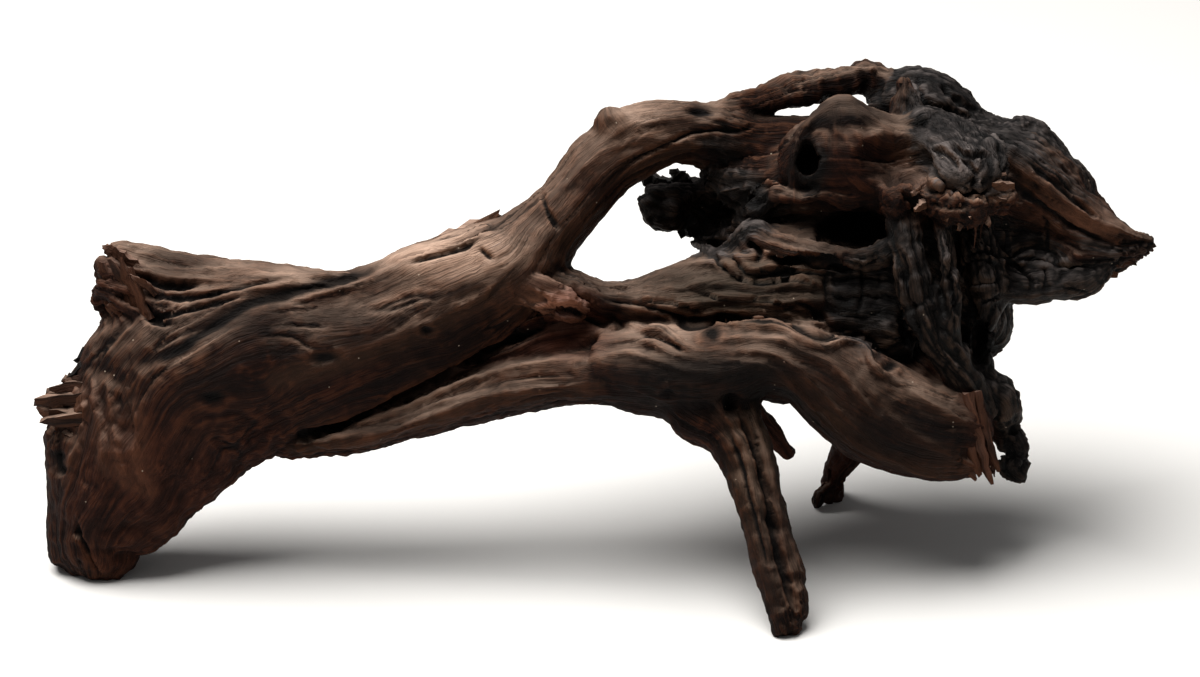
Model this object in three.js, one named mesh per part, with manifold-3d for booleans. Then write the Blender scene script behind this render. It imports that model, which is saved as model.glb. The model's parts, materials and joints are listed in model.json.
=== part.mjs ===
// A weathered piece of driftwood: a root crown with a long trunk, an arched limb over an open gap, a burnt
// and hollowed heart, a beak, and three low points that it stands on: the trunk's foot, a forked leg and a
// root behind.
//
// It is one piece of wood, so it is one solid. The wood is drawn as a carver would see it, from the front
// and a little from above. A station of the drawing is [across, up, depth, half width, half depth] in
// millimetres: across to the right, up the picture, and depth away from the eye. Each limb is a cylinder
// bent through its stations. The limbs are joined, the hollows are cut out, and the whole is then stood on
// its feet.

import * as THREE from "three";
import { mergeVertices } from "three/addons/utils/BufferGeometryUtils.js";
import { ImprovedNoise } from "three/addons/math/ImprovedNoise.js";
import Module from "manifold-3d";

const wasm = await Module();
wasm.setup();

// Driving dimensions, in millimetres and degrees
const EYE_TILT = THREE.MathUtils.degToRad(22); // how steeply the drawing looks down
const EYE_DISTANCE = 2250; // from the eye to the plane of depth 0
const EYE_UP = 148.75; // the height on the drawing that the eye looks straight at
const FOOTPRINT_CENTRE = [-1.5, 111.3]; // middle of the wood's bounding box on the floor, across and back
const LUMP_SIZE = 24; // distance between the lumps of the weathered surface
const RIDGE_DRIFT = 0.9; // how far the ridges of a limb wander round it, in radians
const FLOOR_BLOCK = [1000, 100]; // width and depth of the block that levels the feet
const WELD = 1e-4; // corners nearer than this are one corner

// The trunk, from its foot at the left up to the arch, over the gap and down into the crown
const trunk = {
  sides: 20,
  rings: 32,
  ridges: [0.03, 5],
  rough: 2,
  stations: [
    [-252, 29, 68, 11, 10],
    [-252, 38, 68, 20, 18],
    [-253, 49, 68, 24, 24],
    [-244, 68, 66, 35, 30],
    [-227, 97, 63, 46, 36],
    [-206, 125, 60, 53, 40],
    [-174, 139, 58, 50, 41],
    [-124, 147, 56, 36, 36],
    [-84, 165, 56, 32, 33],
    [-47, 183, 58, 28, 30],
    [-29, 201, 61, 19, 24],
    [-15, 217, 65, 17, 20],
    [1, 236, 70, 18, 19],
    [21, 249, 76, 18, 18],
    [44, 253, 84, 15, 17],
    [62, 250, 89, 15, 17],
    [80, 247, 94, 13, 18],
    [100, 247, 98, 13, 20],
    [125, 243, 100, 15, 22],
  ],
};

const archKnob = {
  sides: 8,
  rings: 3,
  rough: 1,
  stations: [
    [12, 248, 66, 9, 9],
    [5, 257, 64, 9, 9],
    [3, 264, 64, 4, 4],
  ],
};

// Torn wood that hangs under the arch's far end
const archUnderside = {
  sides: 8,
  rings: 6,
  rough: 1.2,
  stations: [
    [32, 241, 90, 4, 8],
    [46, 239, 94, 4.5, 10],
    [56, 238, 98, 6, 12],
    [72, 234, 104, 12, 16],
  ],
};

const lowerStrand = {
  sides: 12,
  rings: 12,
  ridges: [0.05, 4],
  rough: 1.4,
  stations: [
    [-176, 96, 62, 6, 12],
    [-148, 96, 60, 6, 18],
    [-124, 99, 58, 7, 22],
    [-98, 106, 57, 8, 24],
    [-70, 116, 55, 11, 26],
    [-45, 124, 54, 13, 28],
    [-20, 128, 52, 13, 30],
    [10, 130, 50, 15, 32],
    [45, 128, 50, 18, 34],
  ],
};

// The inner wood behind the long crack and the torn window
const innerWood = {
  sides: 10,
  rings: 12,
  rough: 1,
  stations: [
    [-165, 108, 66, 10, 14],
    [-120, 116, 70, 14, 16],
    [-70, 134, 76, 17, 16],
    [-25, 148, 82, 23, 16],
    [15, 148, 82, 24, 18],
    [50, 144, 78, 24, 20],
    [100, 140, 78, 24, 24],
    [150, 128, 76, 22, 24],
    [180, 112, 72, 14, 18],
  ],
};

const belly = {
  sides: 16,
  rings: 18,
  ridges: [0.05, 4],
  rough: 1.6,
  stations: [
    [-3, 136, 46, 15, 22],
    [6, 134, 45, 17, 28],
    [22, 133, 44, 21, 33],
    [45, 132, 44, 23, 36],
    [65, 135, 45, 21, 38],
    [82, 140, 46, 18, 38],
    [102, 136, 47, 19, 38],
    [122, 123, 48, 25, 38],
    [142, 110, 50, 27, 38],
    [165, 102, 53, 25, 34],
    [184, 98, 56, 21, 27],
    [194, 97, 58, 12, 16],
  ],
};

const heart = {
  sides: 18,
  rings: 18,
  ridges: [0.05, 4],
  rough: 2.2,
  stations: [
    [-38, 180, 60, 16, 22],
    [-12, 173, 60, 8, 20],
    [3, 168, 61, 9, 22],
    [20, 165, 63, 14, 26],
    [36, 165, 66, 19, 31],
    [54, 167, 72, 25, 38],
    [76, 168, 80, 32, 45],
    [100, 172, 88, 38, 48],
    [126, 170, 92, 43, 50],
    [150, 168, 92, 47, 50],
    [172, 163, 90, 40, 45],
    [184, 154, 86, 25, 36],
    [188, 142, 82, 14, 24],
  ],
};

const crown = {
  sides: 18,
  rings: 16,
  ridges: [0.04, 5],
  rough: 2,
  stations: [
    [56, 230, 106, 12, 20],
    [72, 226, 104, 21, 32],
    [100, 224, 102, 30, 42],
    [135, 222, 98, 36, 48],
    [170, 218, 94, 41, 48],
    [198, 212, 90, 44, 42],
    [219, 206, 85, 40, 34],
    [236, 199, 80, 29, 26],
    [250, 196, 76, 19, 18],
    [263, 195, 73, 11, 11],
    [276, 196, 71, 3, 4],
  ],
};

const topStrip = {
  sides: 8,
  rings: 14,
  rough: 1,
  stations: [
    [50, 258, 86, 6, 9],
    [66, 264, 92, 6, 9],
    [84, 268, 98, 6.5, 9],
    [100, 273, 104, 6.5, 10],
    [118, 276, 108, 6.5, 10],
    [133, 279, 112, 8, 11],
    [146, 273, 114, 8, 12],
    [160, 264, 114, 9, 14],
  ],
};

const crest = {
  sides: 12,
  rings: 12,
  ridges: [0.08, 4],
  rough: 2.4,
  stations: [
    [136, 265, 116, 9, 14],
    [154, 268, 114, 15, 22],
    [169, 264, 110, 16, 27],
    [184, 251, 106, 13, 24],
    [200, 246, 100, 13, 20],
    [215, 245, 94, 13, 18],
    [229, 233, 88, 10, 15],
    [238, 220, 84, 8, 12],
  ],
};

const tooth = {
  sides: 6,
  rings: 3,
  rough: 0.6,
  stations: [
    [153, 252, 90, 9, 8],
    [152, 264, 88, 6, 6],
    [152, 278, 90, 1.5, 2],
  ],
};

// The folded ear left of the crown: its lobe, and the rim that curls over it
const ear = {
  sides: 14,
  rings: 10,
  rough: 1.4,
  stations: [
    [98, 236, 72, 12, 16],
    [108, 240, 64, 20, 24],
    [124, 240, 60, 24, 28],
    [142, 236, 64, 23, 28],
    [160, 238, 70, 20, 24],
    [176, 242, 78, 15, 18],
  ],
};

const earRim = {
  sides: 8,
  rings: 14,
  rough: 0.8,
  stations: [
    [98, 220, 56, 4, 7],
    [98, 238, 48, 5, 8],
    [103, 252, 44, 6, 9],
    [113, 262, 44, 6, 10],
    [124, 267, 48, 5, 10],
    [137, 262, 54, 5, 10],
    [150, 256, 60, 6, 10],
    [164, 259, 66, 6, 10],
    [178, 252, 74, 6, 8],
  ],
};

const earFold = {
  sides: 6,
  rings: 7,
  rough: 0.6,
  stations: [
    [118, 258, 46, 5, 8],
    [118, 244, 42, 3.5, 8],
    [123, 232, 42, 3.5, 8],
    [136, 223, 46, 4, 8],
    [148, 222, 52, 5, 8],
  ],
};

// The lips over and under the cave
const upperLip = {
  sides: 6,
  rings: 10,
  rough: 1,
  stations: [
    [78, 214, 66, 5, 9],
    [88, 221, 58, 5, 10],
    [102, 220, 54, 4.5, 11],
    [122, 218, 52, 4, 12],
    [142, 219, 52, 5, 12],
    [156, 218, 52, 7, 12],
  ],
};

const lowerLip = {
  sides: 7,
  rings: 12,
  rough: 1,
  stations: [
    [66, 186, 66, 8, 12],
    [74, 203, 62, 9, 12],
    [90, 199, 56, 9, 14],
    [112, 193, 50, 8, 14],
    [134, 190, 46, 6, 14],
    [152, 198, 45, 7, 12],
    [158, 210, 46, 6, 10],
  ],
};

const stub = {
  sides: 7,
  rings: 5,
  rough: 3,
  towards: true,
  stations: [
    [178, 222, 78, 30, 20],
    [177, 225, 52, 31, 21],
    [175, 227, 30, 30, 20],
    [174, 228, 19, 24, 15],
    [173, 229, 14, 13, 8],
  ],
};

const beakRidge = {
  sides: 8,
  rings: 10,
  rough: 1,
  stations: [
    [196, 246, 70, 8, 10],
    [212, 236, 62, 9, 11],
    [230, 222, 62, 8, 10],
    [247, 209, 65, 7, 9],
    [262, 201, 68, 6, 8],
    [277, 197, 71, 3, 4],
  ],
};

const beakKeel = {
  sides: 8,
  rings: 8,
  rough: 1.2,
  stations: [
    [196, 178, 62, 10, 12],
    [212, 174, 62, 8, 12],
    [230, 175, 64, 8, 11],
    [244, 178, 66, 7, 9],
    [254, 184, 68, 4, 6],
  ],
};

// The charred folds down the right side, and the lobe and broken tails under them
const column = {
  sides: 10,
  rings: 10,
  rough: 1.4,
  stations: [
    [152, 206, 42, 9, 12],
    [156, 184, 36, 11, 14],
    [163, 160, 35, 11, 14],
    [174, 140, 38, 11, 14],
    [187, 122, 46, 9, 12],
    [195, 108, 54, 6, 8],
  ],
};

const innerColumn = {
  sides: 7,
  rings: 9,
  rough: 1,
  stations: [
    [170, 208, 42, 5, 10],
    [174, 186, 32, 5, 10],
    [177, 168, 30, 5, 9],
    [176, 150, 34, 5, 9],
    [186, 132, 42, 5, 8],
    [193, 118, 50, 4, 6],
  ],
};

const sideColumn = {
  sides: 8,
  rings: 12,
  rough: 1.4,
  stations: [
    [186, 206, 58, 10, 14],
    [193, 186, 54, 10, 14],
    [195, 166, 54, 7, 14],
    [190, 147, 57, 6, 12],
    [191, 130, 60, 6, 12],
    [200, 117, 64, 9, 13],
    [204, 106, 68, 7, 9],
  ],
};

const darkShard = {
  sides: 6,
  rings: 5,
  rough: 0.8,
  stations: [
    [195, 110, 70, 9, 10],
    [205, 96, 72, 8, 9],
    [208, 88, 72, 7, 7],
    [209, 81, 72, 3, 3],
  ],
};

const tail = {
  sides: 6,
  rings: 5,
  rough: 0.6,
  stations: [
    [184, 118, 42, 6, 7],
    [191, 100, 40, 4, 6],
    [195, 88, 40, 3, 4],
    [197, 78, 41, 1.5, 2],
  ],
};

// A strand that fills the valley between heart and crown, behind
const backStrand = {
  sides: 8,
  rings: 9,
  ridges: [0.06, 3],
  rough: 2,
  stations: [
    [-24, 168, 72, 8, 12],
    [24, 160, 94, 11, 16],
    [72, 184, 126, 15, 18],
    [122, 204, 138, 17, 18],
    [168, 200, 132, 17, 18],
    [202, 184, 108, 12, 14],
  ],
};

// The forked leg in front
const legLeft = {
  sides: 12,
  rings: 14,
  ridges: [0.06, 3],
  rough: 0.9,
  stations: [
    [36, 124, 42, 15, 18],
    [52, 113, 38, 19, 19],
    [64, 101, 32, 14, 15],
    [72, 84, 25, 10, 12],
    [77, 65, 18, 9, 11],
    [82, 46, 12, 8.5, 10],
    [88, 24, 6, 8.5, 10],
    [94, 0, 0, 7.5, 9],
  ],
};

const legRight = {
  sides: 10,
  rings: 12,
  rough: 0.9,
  stations: [
    [66, 126, 42, 8, 12],
    [74, 108, 36, 7, 10],
    [81, 88, 29, 6.5, 9],
    [86, 66, 22, 6.5, 9],
    [92, 46, 14, 6.5, 8],
    [97, 26, 8, 6.5, 8],
    [100, 9, 4, 5, 7],
  ],
};

const farStub = {
  sides: 8,
  rings: 6,
  rough: 0.8,
  stations: [
    [62, 134, 62, 9, 12],
    [72, 117, 68, 8, 10],
    [82, 105, 73, 5.5, 7.5],
    [91, 95, 77, 4, 5.5],
    [95, 90, 79, 3.5, 4.5],
  ],
};

// The root behind, with the flake that hangs from it
const rearRoot = {
  sides: 10,
  rings: 8,
  rough: 1,
  stations: [
    [146, 128, 108, 16, 24],
    [138, 110, 126, 11, 16],
    [126, 94, 140, 8, 12],
    [118, 81, 151, 6.5, 10],
    [115, 68, 158, 6, 9],
  ],
};

const flake = {
  sides: 6,
  rings: 5,
  rough: 0.6,
  stations: [
    [119, 77, 148, 4, 6],
    [112, 73, 144, 3, 5],
    [109, 69, 143, 4, 5],
    [108, 65, 142, 2.5, 3],
  ],
};

// The dark inner shell that shows through the gap under the arch
const claw = {
  sides: 12,
  rings: 7,
  rough: 1.4,
  stations: [
    [86, 214, 112, 20, 24],
    [62, 212, 112, 19, 20],
    [46, 216, 110, 13, 16],
    [32, 217, 108, 12, 13],
    [23, 220, 106, 7, 9],
  ],
};

// The broken left end: a horn, torn shards and splinters
const horn = {
  sides: 10,
  rings: 12,
  ridges: [0.06, 3],
  rough: 1,
  stations: [
    [-244, 190, 60, 5, 6],
    [-238, 191, 60, 6, 8],
    [-227, 187, 60, 8.5, 11],
    [-212, 183, 60, 8.5, 15],
    [-192, 178, 60, 11, 20],
    [-165, 170, 60, 14, 24],
    [-130, 162, 58, 17, 26],
  ],
};

const shards = {
  sides: 10,
  rings: 6,
  ridges: [0.1, 4],
  rough: 1.4,
  stations: [
    [-252, 175, 56, 12, 10],
    [-244, 174, 56, 13, 15],
    [-226, 167, 57, 17, 20],
    [-200, 152, 58, 23, 26],
  ],
};

const tongue = {
  sides: 8,
  rings: 6,
  rough: 0.8,
  stations: [
    [-265, 130, 62, 3, 6],
    [-258, 133, 62, 5, 9],
    [-246, 139, 62, 8, 14],
    [-230, 142, 62, 12, 18],
  ],
};

const splinters = {
  sides: 8,
  rings: 5,
  ridges: [0.12, 3],
  rough: 1,
  stations: [
    [-281, 116, 66, 2, 3],
    [-275, 115, 66, 7, 9],
    [-263, 115, 66, 11, 15],
    [-245, 112, 65, 16, 22],
  ],
};

const heel = {
  sides: 8,
  rings: 5,
  rough: 1,
  stations: [
    [-266, 104, 66, 10, 14],
    [-269, 92, 66, 8, 16],
    [-267, 78, 66, 9, 18],
    [-262, 64, 66, 12, 20],
  ],
};

const limbs = [
  trunk,
  archKnob,
  archUnderside,
  lowerStrand,
  innerWood,
  belly,
  heart,
  crown,
  topStrip,
  crest,
  tooth,
  ear,
  beakRidge,
  beakKeel,
  column,
  innerColumn,
  sideColumn,
  darkShard,
  tail,
  backStrand,
  legLeft,
  legRight,
  farStub,
  rearRoot,
  flake,
  claw,
  horn,
  shards,
  tongue,
  splinters,
  heel,
];

// Thin lips and folds that stand round the hollows, joined after the hollows are cut
const folds = [stub, earRim, earFold, upperLip, lowerLip];

const heartCave = {
  sides: 12,
  rings: 5,
  rough: 1.2,
  towards: true,
  stations: [
    [128, 203, -10, 25, 13],
    [128, 203, 40, 24, 12],
    [130, 203, 66, 20, 10],
    [131, 204, 84, 10, 6],
  ],
};

const earPocket = {
  sides: 10,
  rings: 5,
  rough: 0.8,
  towards: true,
  stations: [
    [106, 237, 0, 9, 12],
    [106, 237, 36, 9, 12],
    [107, 237, 54, 8, 10],
    [108, 237, 62, 5, 6],
  ],
};

const earBowl = {
  sides: 12,
  rings: 4,
  rough: 0.6,
  towards: true,
  stations: [
    [142, 241, 20, 20, 17],
    [142, 241, 38, 18, 15],
    [142, 241, 46, 12, 10],
    [142, 241, 50, 5, 4],
  ],
};

const beakHollow = {
  sides: 12,
  rings: 5,
  rough: 1,
  towards: true,
  stations: [
    [222, 199, 30, 26, 22],
    [222, 199, 50, 24, 19],
    [222, 199, 60, 18, 14],
    [222, 200, 66, 9, 7],
  ],
};

const columnHollow = {
  sides: 8,
  rings: 3,
  rough: 0.6,
  towards: true,
  stations: [
    [190, 146, 20, 5, 14],
    [190, 146, 48, 5, 13],
    [190, 146, 60, 3, 9],
  ],
};

const clawHollow = {
  sides: 10,
  rings: 3,
  rough: 1,
  towards: true,
  stations: [
    [52, 210, 84, 16, 13],
    [52, 210, 98, 15, 12],
    [52, 210, 108, 11, 8],
  ],
};

const hollows = [heartCave, earPocket, earBowl, beakHollow, columnHollow, clawHollow];

const depthAxis = new THREE.Vector3(0, 1, 0);
const acrossAxis = new THREE.Vector3(1, 0, 0);

function curveThrough(points) {
  return new THREE.CatmullRomCurve3(points, false, "catmullrom", 0.5);
}

function limbGeometry({ stations, sides, rings, ridges = [0, 1], rough, towards = false }) {
  const spine = curveThrough(stations.map(([across, up, depth]) => new THREE.Vector3(across, depth, up)));
  const sizes = curveThrough(stations.map(([, , , wide, deep]) => new THREE.Vector3(wide, deep, 0)));
  const geometry = weldedShape(new THREE.CylinderGeometry(1, 1, 1, sides, rings));
  const position = geometry.getAttribute("position");
  const [ridgeHeight, ridgeCount] = ridges;
  const point = new THREE.Vector3();
  for (let i = 0; i < position.count; i++) {
    point.fromBufferAttribute(position, i);
    const t = THREE.MathUtils.clamp(point.y + 0.5, 0, 1);
    const centre = spine.getPoint(t);
    const along = spine.getTangent(t);
    const reference = towards ? acrossAxis : new THREE.Vector3().crossVectors(along, depthAxis);
    const side = reference.clone().addScaledVector(along, -reference.dot(along)).normalize();
    const back = new THREE.Vector3().crossVectors(side, along);
    const size = sizes.getPoint(t);
    const angle = Math.atan2(point.z, point.x);
    const ridge = 1 + ridgeHeight * Math.cos(ridgeCount * (angle + RIDGE_DRIFT * t));
    centre.addScaledVector(side, point.x * size.x * ridge);
    centre.addScaledVector(back, point.z * size.y * ridge);
    const lump = rough * noise.noise(centre.x / LUMP_SIZE, centre.y / LUMP_SIZE, centre.z / LUMP_SIZE);
    centre.addScaledVector(side, point.x * lump).addScaledVector(back, point.z * lump);
    position.setXYZ(i, centre.x, centre.y, centre.z);
  }
  return geometry;
}

function weldedShape(geometry) {
  geometry.deleteAttribute("normal");
  geometry.deleteAttribute("uv");
  return mergeVertices(geometry, WELD);
}

function solidOf(geometry) {
  const mesh = new wasm.Mesh({
    numProp: 3,
    vertProperties: new Float32Array(geometry.getAttribute("position").array),
    triVerts: new Uint32Array(geometry.index.array),
  });
  return new wasm.Manifold(mesh);
}

// From the drawing to the floor: what lies deeper is drawn smaller, and the drawing leans back by the eye's
// tilt
function stand(geometry) {
  const position = geometry.getAttribute("position");
  const point = new THREE.Vector3();
  for (let i = 0; i < position.count; i++) {
    point.fromBufferAttribute(position, i);
    const grow = 1 + point.y / EYE_DISTANCE;
    point.x *= grow;
    point.z = EYE_UP + (point.z - EYE_UP) * grow;
    point.applyAxisAngle(acrossAxis, -EYE_TILT);
    position.setXYZ(i, point.x - FOOTPRINT_CENTRE[0], point.y - FOOTPRINT_CENTRE[1], point.z);
  }
  return geometry;
}

function geometryOf(solid) {
  const mesh = solid.getMesh();
  const geometry = new THREE.BufferGeometry();
  const points = new Float32Array(mesh.numVert * 3);
  for (let i = 0; i < mesh.numVert; i++)
    points.set(mesh.vertProperties.subarray(i * mesh.numProp, i * mesh.numProp + 3), i * 3);
  geometry.setAttribute("position", new THREE.BufferAttribute(points, 3));
  geometry.setIndex(new THREE.BufferAttribute(mesh.triVerts, 1));
  geometry.computeVertexNormals();
  return geometry;
}

const noise = new ImprovedNoise();
const limbSolids = (shapes) => shapes.map((shape) => solidOf(stand(limbGeometry(shape))));

let wood = limbSolids(limbs).reduce((whole, limb) => whole.add(limb));
wood = limbSolids(hollows).reduce((whole, hollow) => whole.subtract(hollow), wood);
wood = limbSolids(folds).reduce((whole, fold) => whole.add(fold), wood);

const [blockWidth, blockDepth] = FLOOR_BLOCK;
const floorBlock = new THREE.BoxGeometry(blockWidth, blockWidth, blockDepth).translate(0, 0, -blockDepth / 2);
wood = wood.subtract(solidOf(weldedShape(floorBlock)));

// A loose scrap that the joining leaves is dropped
const [largest] = wood.decompose().sort((one, other) => other.volume() - one.volume());

const weathered = new THREE.MeshStandardMaterial({ color: 0x3a2a20, roughness: 0.85, metalness: 0 });
const driftwood = new THREE.Mesh(geometryOf(largest), weathered);
driftwood.name = "driftwood";

const part = new THREE.Group();
part.add(driftwood);
export default part;
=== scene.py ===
# %% [markdown]
# # A weathered piece of driftwood
#
# The real object is the crown of a root with a length of trunk. Water, sand and fire have worn it: the soft
# wood has gone and the hard grain stands proud, one end is burnt to square black blocks, and the broken ends
# are torn into fibres. It grew as one piece, so it is one mesh here, with loose fibres and shards added.
#
# The imported model gives the form and the size. This notebook grows the same limbs again, finely, and then
# wears them: folds, cracks and knots one by one, grain by a pattern, and a wood finish that follows the
# limbs.

# %% Load the imported model
import json
import math
import random

import bpy
import numpy as np
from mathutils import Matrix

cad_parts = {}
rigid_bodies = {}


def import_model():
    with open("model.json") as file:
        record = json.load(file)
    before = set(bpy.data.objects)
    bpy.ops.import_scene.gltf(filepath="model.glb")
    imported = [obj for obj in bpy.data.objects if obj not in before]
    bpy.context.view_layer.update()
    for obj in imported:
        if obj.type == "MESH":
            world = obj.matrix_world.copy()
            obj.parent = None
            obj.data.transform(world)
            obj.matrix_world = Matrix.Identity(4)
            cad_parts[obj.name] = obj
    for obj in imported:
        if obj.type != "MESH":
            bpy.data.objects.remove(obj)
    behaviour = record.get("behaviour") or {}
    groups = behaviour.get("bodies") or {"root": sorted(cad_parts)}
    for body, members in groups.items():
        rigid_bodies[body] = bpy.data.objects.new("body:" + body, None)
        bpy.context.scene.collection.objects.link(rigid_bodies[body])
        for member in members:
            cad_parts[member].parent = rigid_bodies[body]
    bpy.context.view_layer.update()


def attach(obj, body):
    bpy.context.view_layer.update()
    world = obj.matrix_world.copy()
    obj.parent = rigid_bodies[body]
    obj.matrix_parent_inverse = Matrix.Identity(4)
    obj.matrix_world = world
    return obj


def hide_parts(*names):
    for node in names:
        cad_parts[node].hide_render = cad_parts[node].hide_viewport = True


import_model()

# %% [markdown]
# ## The drawing that the wood is carved from
#
# A carver would draw the piece from the front and a little from above, and this script keeps that habit. A
# place in the drawing is across to the right, up the page, and depth away from the eye, all in millimetres.
# Two functions go between the drawing and the frame, so a fold can be placed where the eye sees it. Working
# straight in the frame's x, y and z would also do, but every height would then need its tilt worked out.

# %% The drawing and the frame
MM = 0.001
EYE_TILT = math.radians(22)
EYE_DISTANCE = 2250
EYE_UP = 148.75
FOOTPRINT_CENTRE = (-1.5, 111.3)
TILT_COS = math.cos(EYE_TILT)
TILT_SIN = math.sin(EYE_TILT)


def from_drawing(points):
    across, depth, up = np.asarray(points, float).T
    grow = 1 + depth / EYE_DISTANCE
    tall = EYE_UP + (up - EYE_UP) * grow
    x = across * grow - FOOTPRINT_CENTRE[0]
    y = depth * TILT_COS + tall * TILT_SIN - FOOTPRINT_CENTRE[1]
    z = tall * TILT_COS - depth * TILT_SIN
    return np.stack([x, y, z], axis=1) * MM


def to_drawing(points):
    x, y, z = np.asarray(points, float).T / MM
    y = y + FOOTPRINT_CENTRE[1]
    depth = y * TILT_COS - z * TILT_SIN
    tall = y * TILT_SIN + z * TILT_COS
    grow = 1 + depth / EYE_DISTANCE
    return np.stack([(x + FOOTPRINT_CENTRE[0]) / grow, depth, EYE_UP + (tall - EYE_UP) / grow], axis=1)


# %% [markdown]
# ## Limbs
#
# A root is a bundle of limbs that thickened until they touched. Each one is a cylinder bent through a few
# stations, [across, up, depth, half width, half depth], with a smooth curve between them. The same stations
# also tell later where the grain runs, because wood fibre follows the limb that it grew in.
#
# A limb may have ridges (their height and number), point at the eye, or have a few flat sides. Its last
# values say how it has weathered: how deep its furrows and how rugged its lumps are, against the usual, and
# how much of it is burnt to char, torn open to fresh red wood or rubbed pale, from 0 to 1.

# %% A smooth curve through stations
TANGENT_STEP = 0.0001


def curve_through(stations, t):
    knots = np.asarray(stations, float)
    padded = np.vstack([2 * knots[0] - knots[1], knots, 2 * knots[-1] - knots[-2]])
    place = np.clip(t, 0, 1) * (len(knots) - 1)
    first = np.minimum(place.astype(int), len(knots) - 2)
    w = (place - first)[:, None]
    before, start, end, after = (padded[first + k] for k in range(4))
    leave = (end - before) / 2
    arrive = (after - start) / 2
    bend = 3 * (end - start) - 2 * leave - arrive
    return start + leave * w + bend * w**2 + (2 * (start - end) + leave + arrive) * w**3


def unit(vectors):
    return vectors / np.maximum(np.linalg.norm(vectors, axis=1, keepdims=True), 1e-9)


def rounded(line, steps=6):
    """A line of places with its corners rounded by the same curve."""
    knots = np.asarray(line, float)
    if len(knots) < 3:
        return [tuple(p) for p in knots]
    return [tuple(p) for p in curve_through(knots, np.linspace(0, 1, steps * (len(knots) - 1) + 1))]


def limb_axes(limb, t):
    """Centre, along, side, back and half sizes of a limb at each t from 0 to 1, in drawing millimetres."""
    stations = np.asarray(limb["stations"], float)
    spine = stations[:, [0, 2, 1]]
    centre = curve_through(spine, t)
    along = unit(curve_through(spine, t + TANGENT_STEP) - curve_through(spine, t - TANGENT_STEP))
    across = np.tile([1.0, 0, 0], (len(t), 1))
    reference = across if limb["towards"] else np.cross(along, [0.0, 1, 0])
    side = unit(reference - along * np.sum(reference * along, axis=1, keepdims=True))
    return centre, along, side, np.cross(side, along), curve_through(stations[:, 3:5], t)


def limb(stations, ridges=(0, 1), towards=False, sides=0, furrow=1.0, rugged=1.0, char=0.0, red=0.0,
         pale=0.0):
    return dict(stations=stations, ridges=ridges, towards=towards, sides=sides, furrow=furrow, rugged=rugged,
                char=char, red=red, pale=pale)


# %% The limbs of the trunk and its broken end
LIMBS = {
    "trunk": limb([
        (-252, 29, 68, 11, 10), (-252, 38, 68, 20, 18), (-253, 49, 68, 24, 24), (-244, 68, 66, 35, 30),
        (-227, 97, 63, 46, 36), (-206, 125, 60, 53, 40), (-174, 139, 58, 50, 41), (-124, 147, 56, 36, 36),
        (-84, 165, 56, 32, 33), (-47, 183, 58, 28, 30), (-29, 201, 61, 19, 24), (-15, 217, 65, 17, 20),
        (1, 236, 70, 18, 19), (21, 249, 76, 18, 18), (44, 253, 84, 15, 17), (62, 250, 89, 15, 17),
        (80, 247, 94, 13, 18), (100, 247, 98, 13, 20), (125, 243, 100, 15, 22),
    ], ridges=(0.03, 5), furrow=0.8, rugged=0.5),
    "archKnob": limb([(12, 248, 66, 9, 9), (5, 257, 64, 9, 9), (3, 264, 64, 4, 4)], furrow=0.5),
    "endFan": limb([
        (-238, 166, 58, 13, 13), (-215, 162, 56, 19, 22), (-185, 161, 54, 19, 27),
        (-150, 166, 54, 13, 26), (-112, 173, 56, 9, 24),
    ], ridges=(0.05, 4), furrow=1.3),
    "archUnderside": limb([
        (32, 241, 90, 4, 8), (46, 239, 94, 4.5, 10), (56, 238, 98, 6, 12), (72, 234, 104, 12, 16),
    ]),
    "lowerStrand": limb([
        (-176, 96, 62, 6, 12), (-148, 96, 60, 6, 18), (-124, 99, 58, 7, 22), (-98, 106, 57, 8, 24),
        (-70, 116, 55, 11, 26), (-45, 124, 54, 13, 28), (-20, 128, 52, 13, 30), (10, 130, 50, 15, 32),
        (45, 128, 50, 18, 34),
    ], ridges=(0.05, 4)),
    "innerWood": limb([
        (-165, 108, 66, 10, 14), (-120, 116, 68, 14, 16), (-70, 134, 66, 17, 18), (-25, 148, 60, 23, 18),
        (15, 148, 74, 24, 18), (50, 144, 78, 24, 20), (100, 140, 78, 24, 24), (150, 128, 76, 22, 24),
        (180, 112, 72, 14, 18),
    ], red=0.7),
    "horn": limb([
        (-244, 190, 60, 5, 6), (-238, 191, 60, 6, 8), (-227, 187, 60, 8.5, 11), (-212, 183, 60, 8.5, 15),
        (-192, 178, 60, 11, 20), (-165, 170, 60, 14, 24), (-130, 162, 58, 17, 26),
    ], ridges=(0.06, 3), furrow=1.2),
    "shards": limb([
        (-252, 175, 56, 12, 10), (-244, 174, 56, 13, 15), (-226, 167, 57, 17, 20),
        (-200, 152, 58, 23, 26),
    ], ridges=(0.1, 4), furrow=1.6, red=0.2),
    "tongue": limb([
        (-265, 130, 62, 3, 6), (-258, 133, 62, 5, 9), (-246, 139, 62, 8, 14), (-230, 142, 62, 12, 18),
    ], char=0.5),
    "splinters": limb([
        (-281, 116, 66, 2, 3), (-275, 115, 66, 7, 9), (-263, 115, 66, 11, 15), (-245, 112, 65, 16, 22),
    ], ridges=(0.12, 3), furrow=1.4),
    "heel": limb([
        (-266, 104, 66, 10, 14), (-269, 92, 66, 8, 16), (-267, 78, 66, 9, 18), (-262, 64, 66, 12, 20),
    ]),
}

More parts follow.
